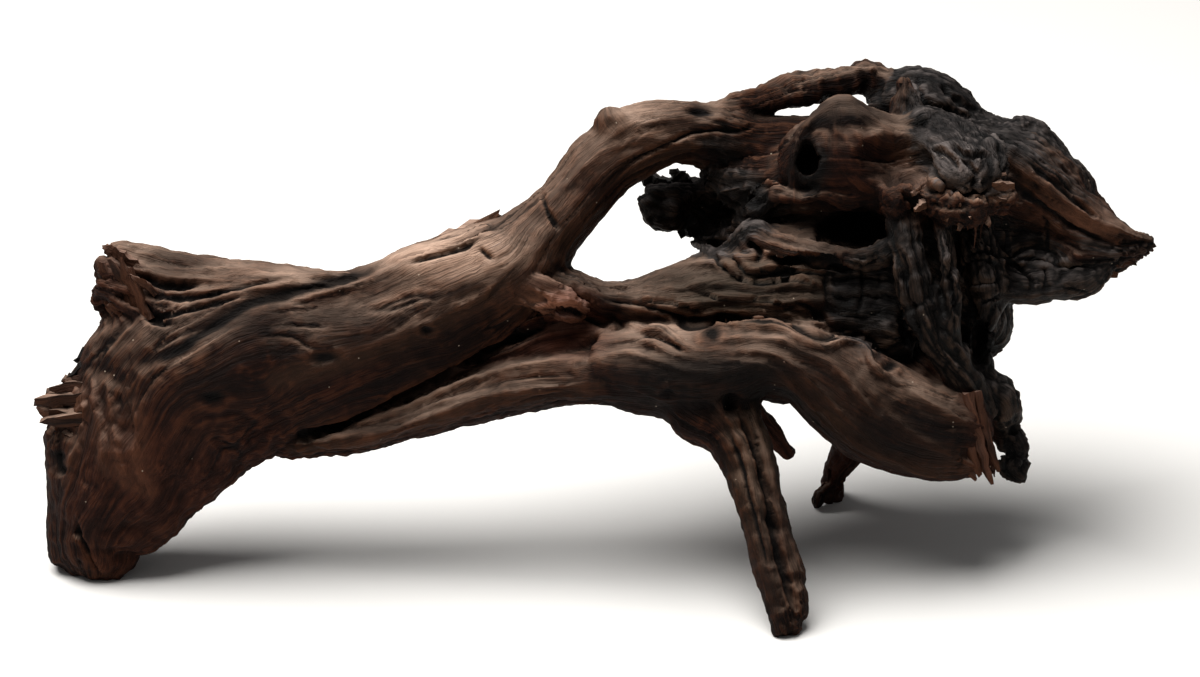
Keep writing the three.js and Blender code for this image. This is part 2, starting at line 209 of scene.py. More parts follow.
# %% The limbs of the crown, the belly and the legs
LIMBS.update({
    "belly": limb([
        (-3, 136, 46, 15, 22), (6, 134, 45, 17, 28), (22, 133, 44, 21, 33), (45, 132, 44, 23, 36),
        (65, 135, 45, 21, 38), (82, 140, 46, 18, 38), (102, 136, 47, 19, 38), (122, 123, 48, 25, 38),
        (142, 110, 50, 27, 38), (165, 102, 53, 25, 34), (184, 98, 56, 21, 27), (194, 97, 58, 12, 16),
    ], ridges=(0.05, 4), furrow=0.7, rugged=0.6),
    "heart": limb([
        (-38, 180, 60, 16, 22), (-12, 173, 60, 8, 20), (3, 168, 61, 9, 22), (20, 165, 63, 14, 26),
        (36, 165, 66, 19, 31), (54, 167, 72, 25, 38), (76, 168, 80, 32, 45), (100, 172, 88, 38, 48),
        (126, 170, 92, 43, 50), (150, 168, 92, 47, 50), (172, 163, 90, 40, 45), (184, 154, 86, 25, 36),
        (188, 142, 82, 14, 24),
    ], ridges=(0.05, 4), furrow=1.4, rugged=1.1, char=0.3),
    "crown": limb([
        (56, 230, 106, 12, 20), (72, 226, 104, 21, 32), (100, 224, 102, 30, 42), (135, 222, 98, 36, 48),
        (170, 218, 94, 41, 48), (198, 212, 90, 44, 42), (219, 206, 85, 40, 34), (236, 199, 80, 29, 26),
        (250, 196, 76, 19, 18), (263, 195, 73, 11, 11), (276, 196, 71, 3, 4),
    ], ridges=(0.04, 5), furrow=1.3, rugged=1.5, char=0.4),
    "topStrip": limb([
        (50, 258, 86, 6, 9), (66, 264, 92, 6, 9), (84, 268, 98, 6.5, 9), (100, 273, 104, 6.5, 10),
        (118, 276, 108, 6, 10), (133, 280, 112, 8, 11), (146, 273, 114, 7, 12), (160, 264, 114, 9, 14),
    ], ridges=(0.08, 3), furrow=1.0, rugged=2.0),
    "crest": limb([
        (136, 265, 116, 9, 14), (154, 268, 114, 15, 22), (169, 264, 110, 16, 27), (184, 251, 106, 13, 24),
        (200, 246, 100, 13, 20), (215, 245, 94, 13, 18), (229, 233, 88, 10, 15), (238, 220, 84, 8, 12),
    ], ridges=(0.08, 4), furrow=1.0, rugged=1.6, char=0.8),
    "tooth": limb([
        (154, 246, 76, 12, 10), (153, 262, 74, 9, 8), (152.5, 272, 76, 6, 6), (152, 279, 80, 2.5, 3),
    ], sides=6, furrow=1.2, char=0.2),
    "ear": limb([
        (98, 236, 72, 12, 16), (108, 240, 64, 20, 24), (124, 240, 60, 24, 28), (142, 236, 64, 23, 28),
        (160, 238, 70, 20, 24), (176, 242, 78, 15, 18),
    ], furrow=1.0, rugged=0.7),
    "beakRidge": limb([
        (196, 246, 70, 8, 10), (212, 236, 62, 9, 11), (230, 222, 62, 8, 10), (247, 209, 65, 7, 9),
        (262, 201, 68, 6, 8), (277, 197, 71, 3, 4),
    ], char=0.6, furrow=1.2),
    "beakKeel": limb([
        (196, 178, 62, 10, 12), (212, 174, 62, 8, 12), (230, 175, 64, 8, 11), (244, 178, 66, 7, 9),
        (254, 184, 68, 4, 6),
    ], char=0.9),
    "innerColumn": limb([
        (170, 208, 42, 5, 10), (174, 186, 32, 5, 10), (177, 168, 30, 5, 9), (176, 150, 34, 5, 9),
        (186, 132, 42, 5, 8), (193, 118, 50, 4, 6),
    ], char=0.6),
    "sideColumn": limb([
        (186, 206, 58, 10, 14), (193, 186, 54, 10, 14), (195, 166, 54, 7, 14), (190, 147, 57, 6, 12),
        (191, 130, 60, 6, 12), (200, 117, 64, 9, 13), (204, 106, 68, 7, 9),
    ], char=1.0, furrow=1.3, rugged=1.5),
    "tail": limb([
        (184, 118, 42, 6, 7), (191, 100, 40, 4, 6), (195, 88, 40, 3, 4), (197, 78, 41, 1.5, 2),
    ], red=0.9),
    "backStrand": limb([
        (-24, 168, 72, 8, 12), (24, 160, 94, 11, 16), (72, 184, 126, 15, 18), (122, 204, 138, 17, 18),
        (168, 200, 132, 17, 18), (202, 184, 108, 12, 14),
    ], ridges=(0.06, 3), furrow=1.4),
    "legLeft": limb([
        (36, 124, 42, 15, 18), (52, 113, 38, 19, 19), (64, 101, 32, 14, 15), (72, 84, 25, 10, 12),
        (77, 65, 18, 9, 11), (82, 46, 12, 8.5, 10), (88, 24, 6, 8.5, 10), (94, 0, 0, 7.5, 9),
    ], ridges=(0.06, 3), furrow=1.0),
    "legRight": limb([
        (66, 126, 42, 8, 12), (74, 108, 36, 7, 10), (81, 88, 29, 6.5, 9), (86, 66, 22, 6.5, 9),
        (92, 46, 14, 6.5, 8), (97, 26, 8, 6.5, 8), (100, 9, 4, 5, 7),
    ]),
    "farStub": limb([
        (62, 134, 62, 9, 12), (72, 117, 68, 8, 10), (82, 105, 73, 5.5, 7.5), (91, 95, 77, 4, 5.5),
        (95, 90, 79, 3.5, 4.5),
    ], red=0.8, furrow=0.6),
    "rearRoot": limb([
        (146, 128, 108, 16, 24), (138, 110, 126, 11, 16), (126, 94, 140, 8, 12), (118, 81, 151, 6.5, 10),
        (115, 68, 158, 6, 9),
    ], red=0.8, furrow=0.8, rugged=1.6),
    "flake": limb([
        (119, 77, 148, 4, 6), (112, 73, 144, 3, 5), (109, 69, 143, 4, 5), (108, 65, 142, 2.5, 3),
    ], char=0.5, furrow=0.5, rugged=1.4),
    "claw": limb([
        (86, 214, 112, 20, 24), (62, 212, 112, 19, 20), (46, 216, 110, 13, 16), (32, 217, 108, 12, 13),
        (23, 220, 106, 7, 9),
    ], char=0.7, furrow=1.6, rugged=2.2),
})

# %% The folds that stand round the hollows, and the hollows
FOLDS = {
    "stubTop": limb([
        (164, 251, 86, 17, 14), (172, 246, 62, 20, 15), (181, 238, 44, 23, 15), (189, 230, 32, 21, 12),
        (194, 225, 25, 11, 6),
    ], towards=True, sides=6, furrow=1.2, rugged=0.8, char=0.75),
    "stubLeft": limb([
        (166, 228, 80, 13, 11), (168, 224, 50, 14, 12), (169, 220, 32, 13, 11), (170, 218, 24, 8, 6),
    ], towards=True, sides=5, furrow=0.8, rugged=1.4, char=0.4),
    "stubRight": limb([
        (194, 226, 70, 11, 11), (196, 222, 46, 12, 11), (198, 219, 34, 11, 9), (199, 218, 27, 7, 5),
    ], towards=True, sides=7, furrow=0.8, rugged=1.4, char=0.3),
    "stubFront": limb([
        (172, 216, 60, 14, 8), (178, 214, 38, 18, 9), (180, 213, 28, 17, 8), (180, 213, 21, 10, 5),
    ], towards=True, sides=7, furrow=0.8, rugged=1.8, char=0.0),
    "stubKnob": limb([
        (151, 219, 70, 9, 9), (149, 219, 44, 9, 10), (148, 219, 32, 8, 9), (148, 220, 26, 4, 4),
    ], ridges=(0.1, 3), towards=True, furrow=0.8, rugged=1.8),
    "crestBlock": limb([
        (144, 270, 112, 11, 16), (158, 271, 110, 14, 20), (174, 264, 106, 13, 20),
        (190, 252, 100, 10, 15),
    ], sides=6, furrow=0.6, rugged=1.2, char=0.8),
    "column": limb([
        (151, 208, 44, 9, 12), (156, 188, 37, 10, 14), (162, 164, 35, 11, 14), (171, 144, 38, 10, 13),
        (184, 126, 45, 9, 12), (194, 110, 54, 6, 8),
    ], sides=6, char=0.6, furrow=0.8, rugged=1.2),
    "earRim": limb([
        (97, 222, 56, 2.2, 7), (96.5, 236, 51, 2.2, 8), (99, 248, 49, 2.8, 9), (107, 258, 50, 3.5, 10),
        (120, 266, 54, 4, 11), (134, 261, 60, 4, 11), (150, 255, 64, 5, 10), (164, 258, 68, 6, 10),
        (178, 252, 74, 6, 8),
    ], furrow=0.4, rugged=0.8),
    "earHood": limb([
        (104, 250, 56, 6, 9), (114, 257, 52, 8, 13), (127, 258, 52, 8, 14), (140, 252, 58, 6, 12),
    ], furrow=0.5, rugged=0.8),
    "darkShard": limb([
        (195, 110, 70, 9, 10), (206, 97, 72, 8, 9), (208, 90, 72, 5, 6), (206, 84, 72, 8, 5),
        (210, 79, 72, 3, 3),
    ], sides=6, char=1.0, furrow=1.0, rugged=2.0),
    "tornPlate": limb([
        (-44, 176, 34, 8, 4), (-32, 171, 32, 9, 3), (-20, 166, 34, 8, 3), (-8, 161, 42, 4, 2.5),
    ], furrow=1.3, rugged=1.2, red=0.3, pale=0.3),
    "earFold": limb([
        (118, 258, 46, 5, 8), (118, 244, 42, 3.5, 8), (123, 232, 42, 3.5, 8), (136, 223, 46, 4, 8),
        (148, 222, 52, 5, 8),
    ], furrow=0.6),
    "upperLip": limb([
        (78, 214, 66, 4, 9), (88, 220, 58, 4, 10), (102, 219, 54, 3, 11), (112, 221, 52, 2.6, 11),
        (124, 218, 52, 3.4, 12), (142, 220, 52, 4, 12), (156, 218, 52, 6, 12),
    ], ridges=(0.15, 3), rugged=1.2, char=0.2),
    "lowerLip": limb([
        (66, 190, 66, 5, 11), (76, 200, 62, 7, 11), (90, 196, 56, 5, 12), (108, 191, 50, 6, 13),
        (122, 190, 47, 4, 13), (134, 189, 46, 5, 13), (150, 197, 45, 6, 12), (158, 210, 46, 5, 10),
    ], ridges=(0.15, 3), rugged=1.4, char=0.2),
}

HOLLOWS = {
    "heartCave": limb([
        (128, 203, -10, 25, 13), (128, 203, 40, 24, 12), (130, 203, 66, 20, 10), (131, 204, 84, 10, 6),
    ], towards=True),
    "earPocket": limb([
        (104, 239, 0, 5, 9), (104, 239, 36, 5, 9), (104, 238, 52, 6, 9), (105, 234, 60, 4, 6),
    ], ridges=(0.08, 3), towards=True),
    "beakHollow": limb([
        (222, 199, 30, 26, 22), (222, 199, 50, 24, 19), (222, 199, 60, 18, 14), (222, 200, 66, 9, 7),
    ], towards=True),
    "columnHollow": limb([
        (190, 146, 20, 5, 14), (190, 146, 48, 5, 13), (190, 146, 60, 3, 9),
    ], towards=True),
    "clawHollow": limb([
        (52, 210, 84, 16, 13), (52, 210, 98, 15, 12), (52, 210, 108, 11, 8),
    ], towards=True),
}
GRAINED = {**LIMBS, **FOLDS}
print(len(LIMBS), "limbs,", len(FOLDS), "folds,", len(HOLLOWS), "hollows")

# %% [markdown]
# ## Growing the limbs
#
# Each limb starts as a cylinder primitive. Its long edges are cut into rings in edit mode, as a modeller
# would before bending it, and its points are then moved on to the curve. A curve object with a bevel would
# be quicker, but it can't give an oval section or ridges that wander round the limb.

# %% Cylinders bent through their stations
RING_STEP = 3.0  # millimetres between rings, and between the sides of a limb
SIDE_LIMITS = (16, 100)
RING_LIMITS = (8, 220)
RIDGE_DRIFT = 0.9  # how far the ridges turn round a limb from one end to the other, in radians


def select_none():
    bpy.ops.object.select_all(action="DESELECT")


def activate(thing):
    select_none()
    thing.select_set(True)
    bpy.context.view_layer.objects.active = thing


def values_of(items, field, width=1, kind=np.float32):
    """One number for each item of a mesh, or one row of numbers where the width is more than 1."""
    flat = np.empty(len(items) * width, kind)
    items.foreach_get(field, flat)
    return flat.reshape(-1, width) if width > 1 else flat


def points_of(thing):
    return values_of(thing.data.vertices, "co", 3, float)


def set_points(thing, points):
    thing.data.vertices.foreach_set("co", np.ascontiguousarray(points, dtype=np.float32).ravel())
    thing.data.update()


def limb_points(limb, unit_points):
    t = unit_points[:, 2] + 0.5
    wide, deep = unit_points[:, 0], -unit_points[:, 1]
    centre, _, side, back, half = limb_axes(limb, t)
    height, count = limb["ridges"]
    ridge = 1 + height * np.cos(count * (np.arctan2(deep, wide) + RIDGE_DRIFT * t))
    sideways = side * (wide * half[:, 0] * ridge)[:, None]
    return centre + sideways + back * (deep * half[:, 1] * ridge)[:, None]


def cut_across(thing, axis, cuts):
    """Cut the edges that run along one axis of a primitive of size 1 into even parts."""
    bpy.ops.object.mode_set(mode="EDIT")
    bpy.ops.mesh.select_mode(type="EDGE")
    bpy.ops.mesh.select_all(action="DESELECT")
    bpy.ops.object.mode_set(mode="OBJECT")
    ends = points_of(thing)
    for edge in thing.data.edges:
        low, high = edge.vertices
        edge.select = bool(abs(ends[low][axis] - ends[high][axis]) > 0.5)
    bpy.ops.object.mode_set(mode="EDIT")
    bpy.ops.mesh.subdivide(number_cuts=cuts)
    bpy.ops.object.mode_set(mode="OBJECT")


def grow_limb(name, limb):
    stations = np.asarray(limb["stations"], float)
    length = np.linalg.norm(np.diff(stations[:, :3], axis=0), axis=1).sum()
    sides = limb["sides"] or int(np.clip(2 * math.pi * stations[:, 3:5].max() / RING_STEP, *SIDE_LIMITS))
    rings = int(np.clip(length / RING_STEP, *RING_LIMITS))
    select_none()
    bpy.ops.mesh.primitive_cylinder_add(vertices=sides, radius=1, depth=1, end_fill_type="TRIFAN")
    piece = bpy.context.object
    piece.name = name
    cut_across(piece, 2, rings - 1)
    set_points(piece, from_drawing(limb_points(limb, points_of(piece))))
    return piece


def join(things, name):
    activate(things[0])
    for thing in things:
        thing.select_set(True)
    if len(things) > 1:
        bpy.ops.object.join()
    joined = bpy.context.object
    joined.name = name
    joined.data.name = name
    return joined


limbs = join([grow_limb(name, shape) for name, shape in LIMBS.items()], "limbs")
hollows = join([grow_limb(name, shape) for name, shape in HOLLOWS.items()], "hollows")
folds = join([grow_limb(name, shape) for name, shape in FOLDS.items()], "folds")
print("limbs grown:", len(limbs.data.vertices), "points")

# %% [markdown]
# ## One piece of wood
#
# A voxel remesh turns the bundle of limbs into one skin with even faces, as a potter would smooth coils of
# clay together. The hollows are then cut with a Boolean. The thin folds are joined, and so are cords: thin
# limbs laid along listed lines on the skin, which give the crisp layers of worn wood. A second remesh and
# a light smoothing take away the seams.

# %% Cords: half width, how far it stands out, char, and its line of places (across, up)
CORDS = [
    # The wavy ridge over the belly and the fan of layers that leave it
    (3.2, 3.4, 0, [(54, 150), (61.5, 154), (74, 155), (87, 154.5), (95, 151), (102, 146), (112, 144.5),
                   (121, 147.5),
                   (132, 144), (135.5, 137), (140.5, 131), (146, 127), (152, 125.5)]),
    (2.3, 2.2, 0, [(56, 146), (70, 148.5), (90, 147.5), (100, 142), (115, 136), (125, 125), (135, 113),
                   (150, 103)]),
    (2.1, 2.0, 0, [(56, 142), (75, 142), (90, 139), (105, 128), (115, 117), (125, 107), (138, 96)]),
    (2.1, 1.8, 0, [(56, 138), (72, 137), (85, 134), (98, 124), (108, 112)]),
    (2.8, 3.0, 0, [(-5, 149), (6, 154), (14, 155), (22, 153), (31, 153), (39, 146), (47, 142), (55, 141)]),
    (2.2, 2.0, 0, [(-4, 144), (12, 148), (24, 147), (35, 141), (48, 138), (55, 137)]),
    (2.2, 1.8, 0, [(-4, 138), (15, 141), (30, 136), (45, 132), (58, 132)]),
    (3, 1.8, 0, [(128, 136), (134, 122), (148, 106), (168, 94), (186, 86)]),
    (3, 1.6, 0, [(152, 124), (166, 114), (184, 106)]),
    (3, 1.6, 0, [(112, 112), (130, 96), (150, 87), (168, 80)]),
    # The layers of the heart
    (3, 2.4, 0.1, [(22, 170), (40, 172), (60, 176), (80, 173), (100, 176), (120, 172), (142, 176)]),
    (2.6, 2.2, 0.1, [(18, 163), (42, 165), (64, 168), (86, 166), (108, 168), (130, 164), (146, 166)]),
    (2.6, 2.2, 0, [(40, 158), (62, 161), (84, 160), (104, 157), (122, 158), (138, 155)]),
    (2.8, 2.6, 0.2, [(48, 196), (60, 190), (74, 188), (88, 191)]),
    (2.6, 2.4, 0.1, [(38, 184), (54, 186), (66, 183), (84, 182), (104, 184)]),
    (3, 3.2, 0.3, [(70, 214), (84, 211), (98, 213), (110, 211)]),
    (2.8, 3, 0.3, [(68, 206), (84, 203), (98, 205)]),
    (2.6, 2.6, 0.2, [(66, 198), (80, 197), (92, 199)]),
    (2.4, 2.2, 0.2, [(60, 222), (74, 224), (88, 220)]),
    # The torn left end and the foot
    (2.4, 2.2, 0, [(-242, 191), (-228, 185), (-210, 182), (-180, 182), (-150, 180), (-120, 181)]),
    (2, 1.6, 0, [(-234, 185), (-215, 179), (-195, 178), (-170, 179), (-140, 177)]),
    (2, 1.6, 0, [(-226, 175), (-205, 172), (-180, 173), (-150, 175), (-120, 178)]),
    (1.8, 1.4, 0, [(-228, 168), (-205, 166), (-185, 168), (-160, 172)]),
    (2.4, 1.8, 0, [(-254, 128), (-251, 112), (-249, 98), (-247, 86)]),
    (2.2, 1.6, 0, [(-246, 126), (-243, 108), (-241, 92), (-237, 80)]),
    (2.4, 2, 0, [(-258, 122), (-259, 106), (-262, 92), (-267, 78)]),
    (2, 1.2, 0, [(-236, 122), (-232, 106), (-232, 90), (-228, 76)]),
    # The lower strand, the trunk and the arch
    (2.6, 1.8, 0, [(-150, 93), (-110, 101), (-80, 111), (-55, 120), (-25, 124), (0, 126)]),
    (2.4, 1.6, 0, [(-120, 105), (-90, 116), (-60, 129), (-30, 136), (-8, 138)]),
    (2.6, 1.2, 0, [(-200, 158), (-160, 166), (-120, 176), (-86, 188)]),
    (2.6, 1.1, 0, [(-160, 128), (-120, 142), (-84, 158), (-52, 176), (-34, 192)]),
    (2.4, 1.2, 0, [(-30, 208), (-16, 226), (0, 240), (20, 248), (44, 246), (66, 244)]),
    # Legs, beak and column
    (2.2, 1.6, 0, [(58, 118), (68, 100), (73, 82), (78, 62), (83, 40), (89, 18)]),
    (2, 1.6, 0, [(78, 108), (83, 88), (88, 66), (93, 44), (98, 22)]),
    (2.8, 2.2, 0, [(198, 242), (216, 229), (236, 215), (256, 204), (274, 198)]),
    (2.4, 1.8, 0.2, [(202, 232), (222, 218), (240, 207), (258, 199)]),
    (2.2, 1.4, 0.6, [(198, 224), (214, 212), (232, 204), (250, 196)]),
    (2.4, 1.6, 0.8, [(186, 172), (204, 170), (224, 172), (244, 178)]),
]
CORD_DEPTH = 4.0
CORD_PALE = 0.35  # standing fibre is rubbed pale
CELL = 2.0
CELLS_LEFT = 400  # the first cell lies this far left of and below the middle of the drawing
CELLS_BELOW = 100
NOTHING = 1e9  # the depth of a cell with no skin in it


def cells_of(across, up):
    return ((across + CELLS_LEFT) / CELL).astype(int), ((up + CELLS_BELOW) / CELL).astype(int)


def nearest_depths(points):
    """For each cell of the drawing the depth of the skin nearest to the eye."""
    across, depth, up = to_drawing(points).T
    column, row = cells_of(across, up)
    nearest = np.full((row.max() + 3, column.max() + 3), NOTHING)
    np.minimum.at(nearest, (row, column), depth)
    return nearest


def cord(width, stand, char, line, nearest):
    """A thin limb laid along a line on the skin that faces the eye, fading at both ends."""
    places = np.array(rounded(line, 2))
    column, row = cells_of(*places.T)
    depth = nearest[row, column]
    found = depth < NOTHING
    run = np.linspace(0, 1, len(places))
    depth = np.interp(run, run[found], depth[found])
    depth[1:-1] = (depth[:-2] + depth[1:-1] + depth[2:]) / 3
    fade = np.interp(run, [0, 0.2, 0.8, 1], [0.0, 1, 1, 0.0])
    half = width * (0.5 + 0.5 * fade)
    sunk = depth + CORD_DEPTH - stand * fade
    stations = np.column_stack([places, sunk, half, np.full(len(places), CORD_DEPTH)])
    return limb(stations.tolist(), furrow=0.8, rugged=0.6, char=char, pale=CORD_PALE)


# %% Fuse, hollow, lay the cords on and smooth
VOXEL = 0.0013
FIRST_SMOOTH = 8
LAST_SMOOTH = 3


def apply_modifier(thing, kind, **settings):
    activate(thing)
    modifier = thing.modifiers.new(kind.title(), kind)
    for key, value in settings.items():
        setattr(modifier, key, value)
    bpy.ops.object.modifier_apply(modifier=modifier.name)


def remesh(thing, size):
    apply_modifier(thing, "REMESH", mode="VOXEL", voxel_size=size, adaptivity=0.0)


remesh(limbs, VOXEL)
apply_modifier(limbs, "SMOOTH", factor=0.5, iterations=FIRST_SMOOTH)
apply_modifier(limbs, "BOOLEAN", operation="DIFFERENCE", solver="MANIFOLD", object=hollows)
bpy.data.objects.remove(hollows)
nearest = nearest_depths(points_of(limbs))
laid = {"cord_%d" % number: cord(*values, nearest) for number, values in enumerate(CORDS)}
cords = join([grow_limb(name, shape) for name, shape in laid.items()], "cords")
GRAINED.update(laid)
body = join([limbs, folds, cords], "driftwood_body")
remesh(body, VOXEL)
apply_modifier(body, "SMOOTH", factor=0.5, iterations=LAST_SMOOTH)
print("body:", len(body.data.vertices), "points")

# %% [markdown]
# ## Where the grain runs
#
# Every point of the skin belongs to the limb whose surface it lies on. Measured along that limb and round
# it, the point gets grain coordinates: a pattern stretched along the first of them looks like fibre. Near a
# joint the second nearest limb counts too, so the grain of one runs over into the other. How far a point lies
# from the middle of the limb is left out, because then a fibre keeps its line over a swelling or a dent.

# %% Grain coordinates
SPINE_STEP = 3.0
BLEND_REACH = 7.0  # millimetres over which one limb's grain gives way to the next
LIMB_SHIFT = 137.0  # moves each limb to a place of its own in the pattern
END_GRAIN = (0.8, 1.5)  # a broken end shows layers, wider than they are tall


def spine_of(limb):
    stations = np.asarray(limb["stations"], float)
    length = np.linalg.norm(np.diff(stations[:, :3], axis=0), axis=1).sum()
    t = np.linspace(0, 1, max(6, int(length / SPINE_STEP)))
    centre, along, side, back, half = limb_axes(limb, t)
    start = from_drawing(centre) / MM
    towards = {key: unit(from_drawing(centre + axis) / MM - start)
               for key, axis in (("along", along), ("side", side), ("back", back))}
    run = np.concatenate([[0], np.cumsum(np.linalg.norm(np.diff(start, axis=0), axis=1))])
    return dict(centre=start, half=np.maximum(half, 1.0), girth=half.mean(), run=run,
                end_grain=limb["towards"], **towards)


SPINES = {name: spine_of(shape) for name, shape in GRAINED.items()}
NAMES = list(SPINES)


def grain_place(spine, points):
    """Grain coordinates of points (mm) in one limb, and how far outside its surface they lie."""
    centre = spine["centre"]
    far = (points**2).sum(1)[:, None] - 2 * points @ centre.T + (centre**2).sum(1)[None]
    near = np.argmin(far, axis=1)
    offset = points - centre[near]
    step = np.sum(offset * spine["along"][near], axis=1)
    wide = np.sum(offset * spine["side"][near], axis=1)
    deep = np.sum(offset * spine["back"][near], axis=1)
    half = spine["half"][near]
    turn = np.stack([wide / half[:, 0], deep / half[:, 1]], axis=1)
    size = np.maximum(np.linalg.norm(turn, axis=1), 0.05)
    round_gap = (size - 1) * half.min(axis=1)
    past_end = np.maximum(np.abs(step) - SPINE_STEP, 0)
    if spine["end_grain"]:
        turn = np.stack([wide * END_GRAIN[0], deep * END_GRAIN[1]], axis=1)
    else:
        turn *= (spine["girth"] / size)[:, None]
    return np.column_stack([spine["run"][near] + step, turn]), round_gap + past_end


def limb_gaps(points):
    return np.stack([grain_place(SPINES[name], points)[1] for name in NAMES], axis=1)


def grain_of(points, first, second):
    """Grain coordinates in the two nearest limbs, where first and second number the limb for each point."""
    grains = []
    for chosen in (first, second):
        grain = np.zeros((len(points), 3))
        for number, name in enumerate(NAMES):
            mine = chosen == number
            if mine.any():
                grain[mine] = grain_place(SPINES[name], points[mine])[0] + [number * LIMB_SHIFT, 0, 0]
        grains.append(grain)
    return grains


def share_of(gap_first, gap_second):
    return np.clip(0.5 + 0.5 * (gap_second - gap_first) / BLEND_REACH, 0, 1)


def of_limbs(key, first, second, share):
    values = np.array([GRAINED[name][key] for name in NAMES], float)
    return values[first] * share + values[second] * (1 - share)


rest = points_of(body)
gaps = limb_gaps(rest / MM)
order = np.argsort(gaps, axis=1)[:, :2]
first, second = order[:, 0], order[:, 1]
rows = np.arange(len(rest))
share = share_of(gaps[rows, first], gaps[rows, second])
grain_one, grain_two = grain_of(rest / MM, first, second)
print("grain measured for", len(rest), "points")
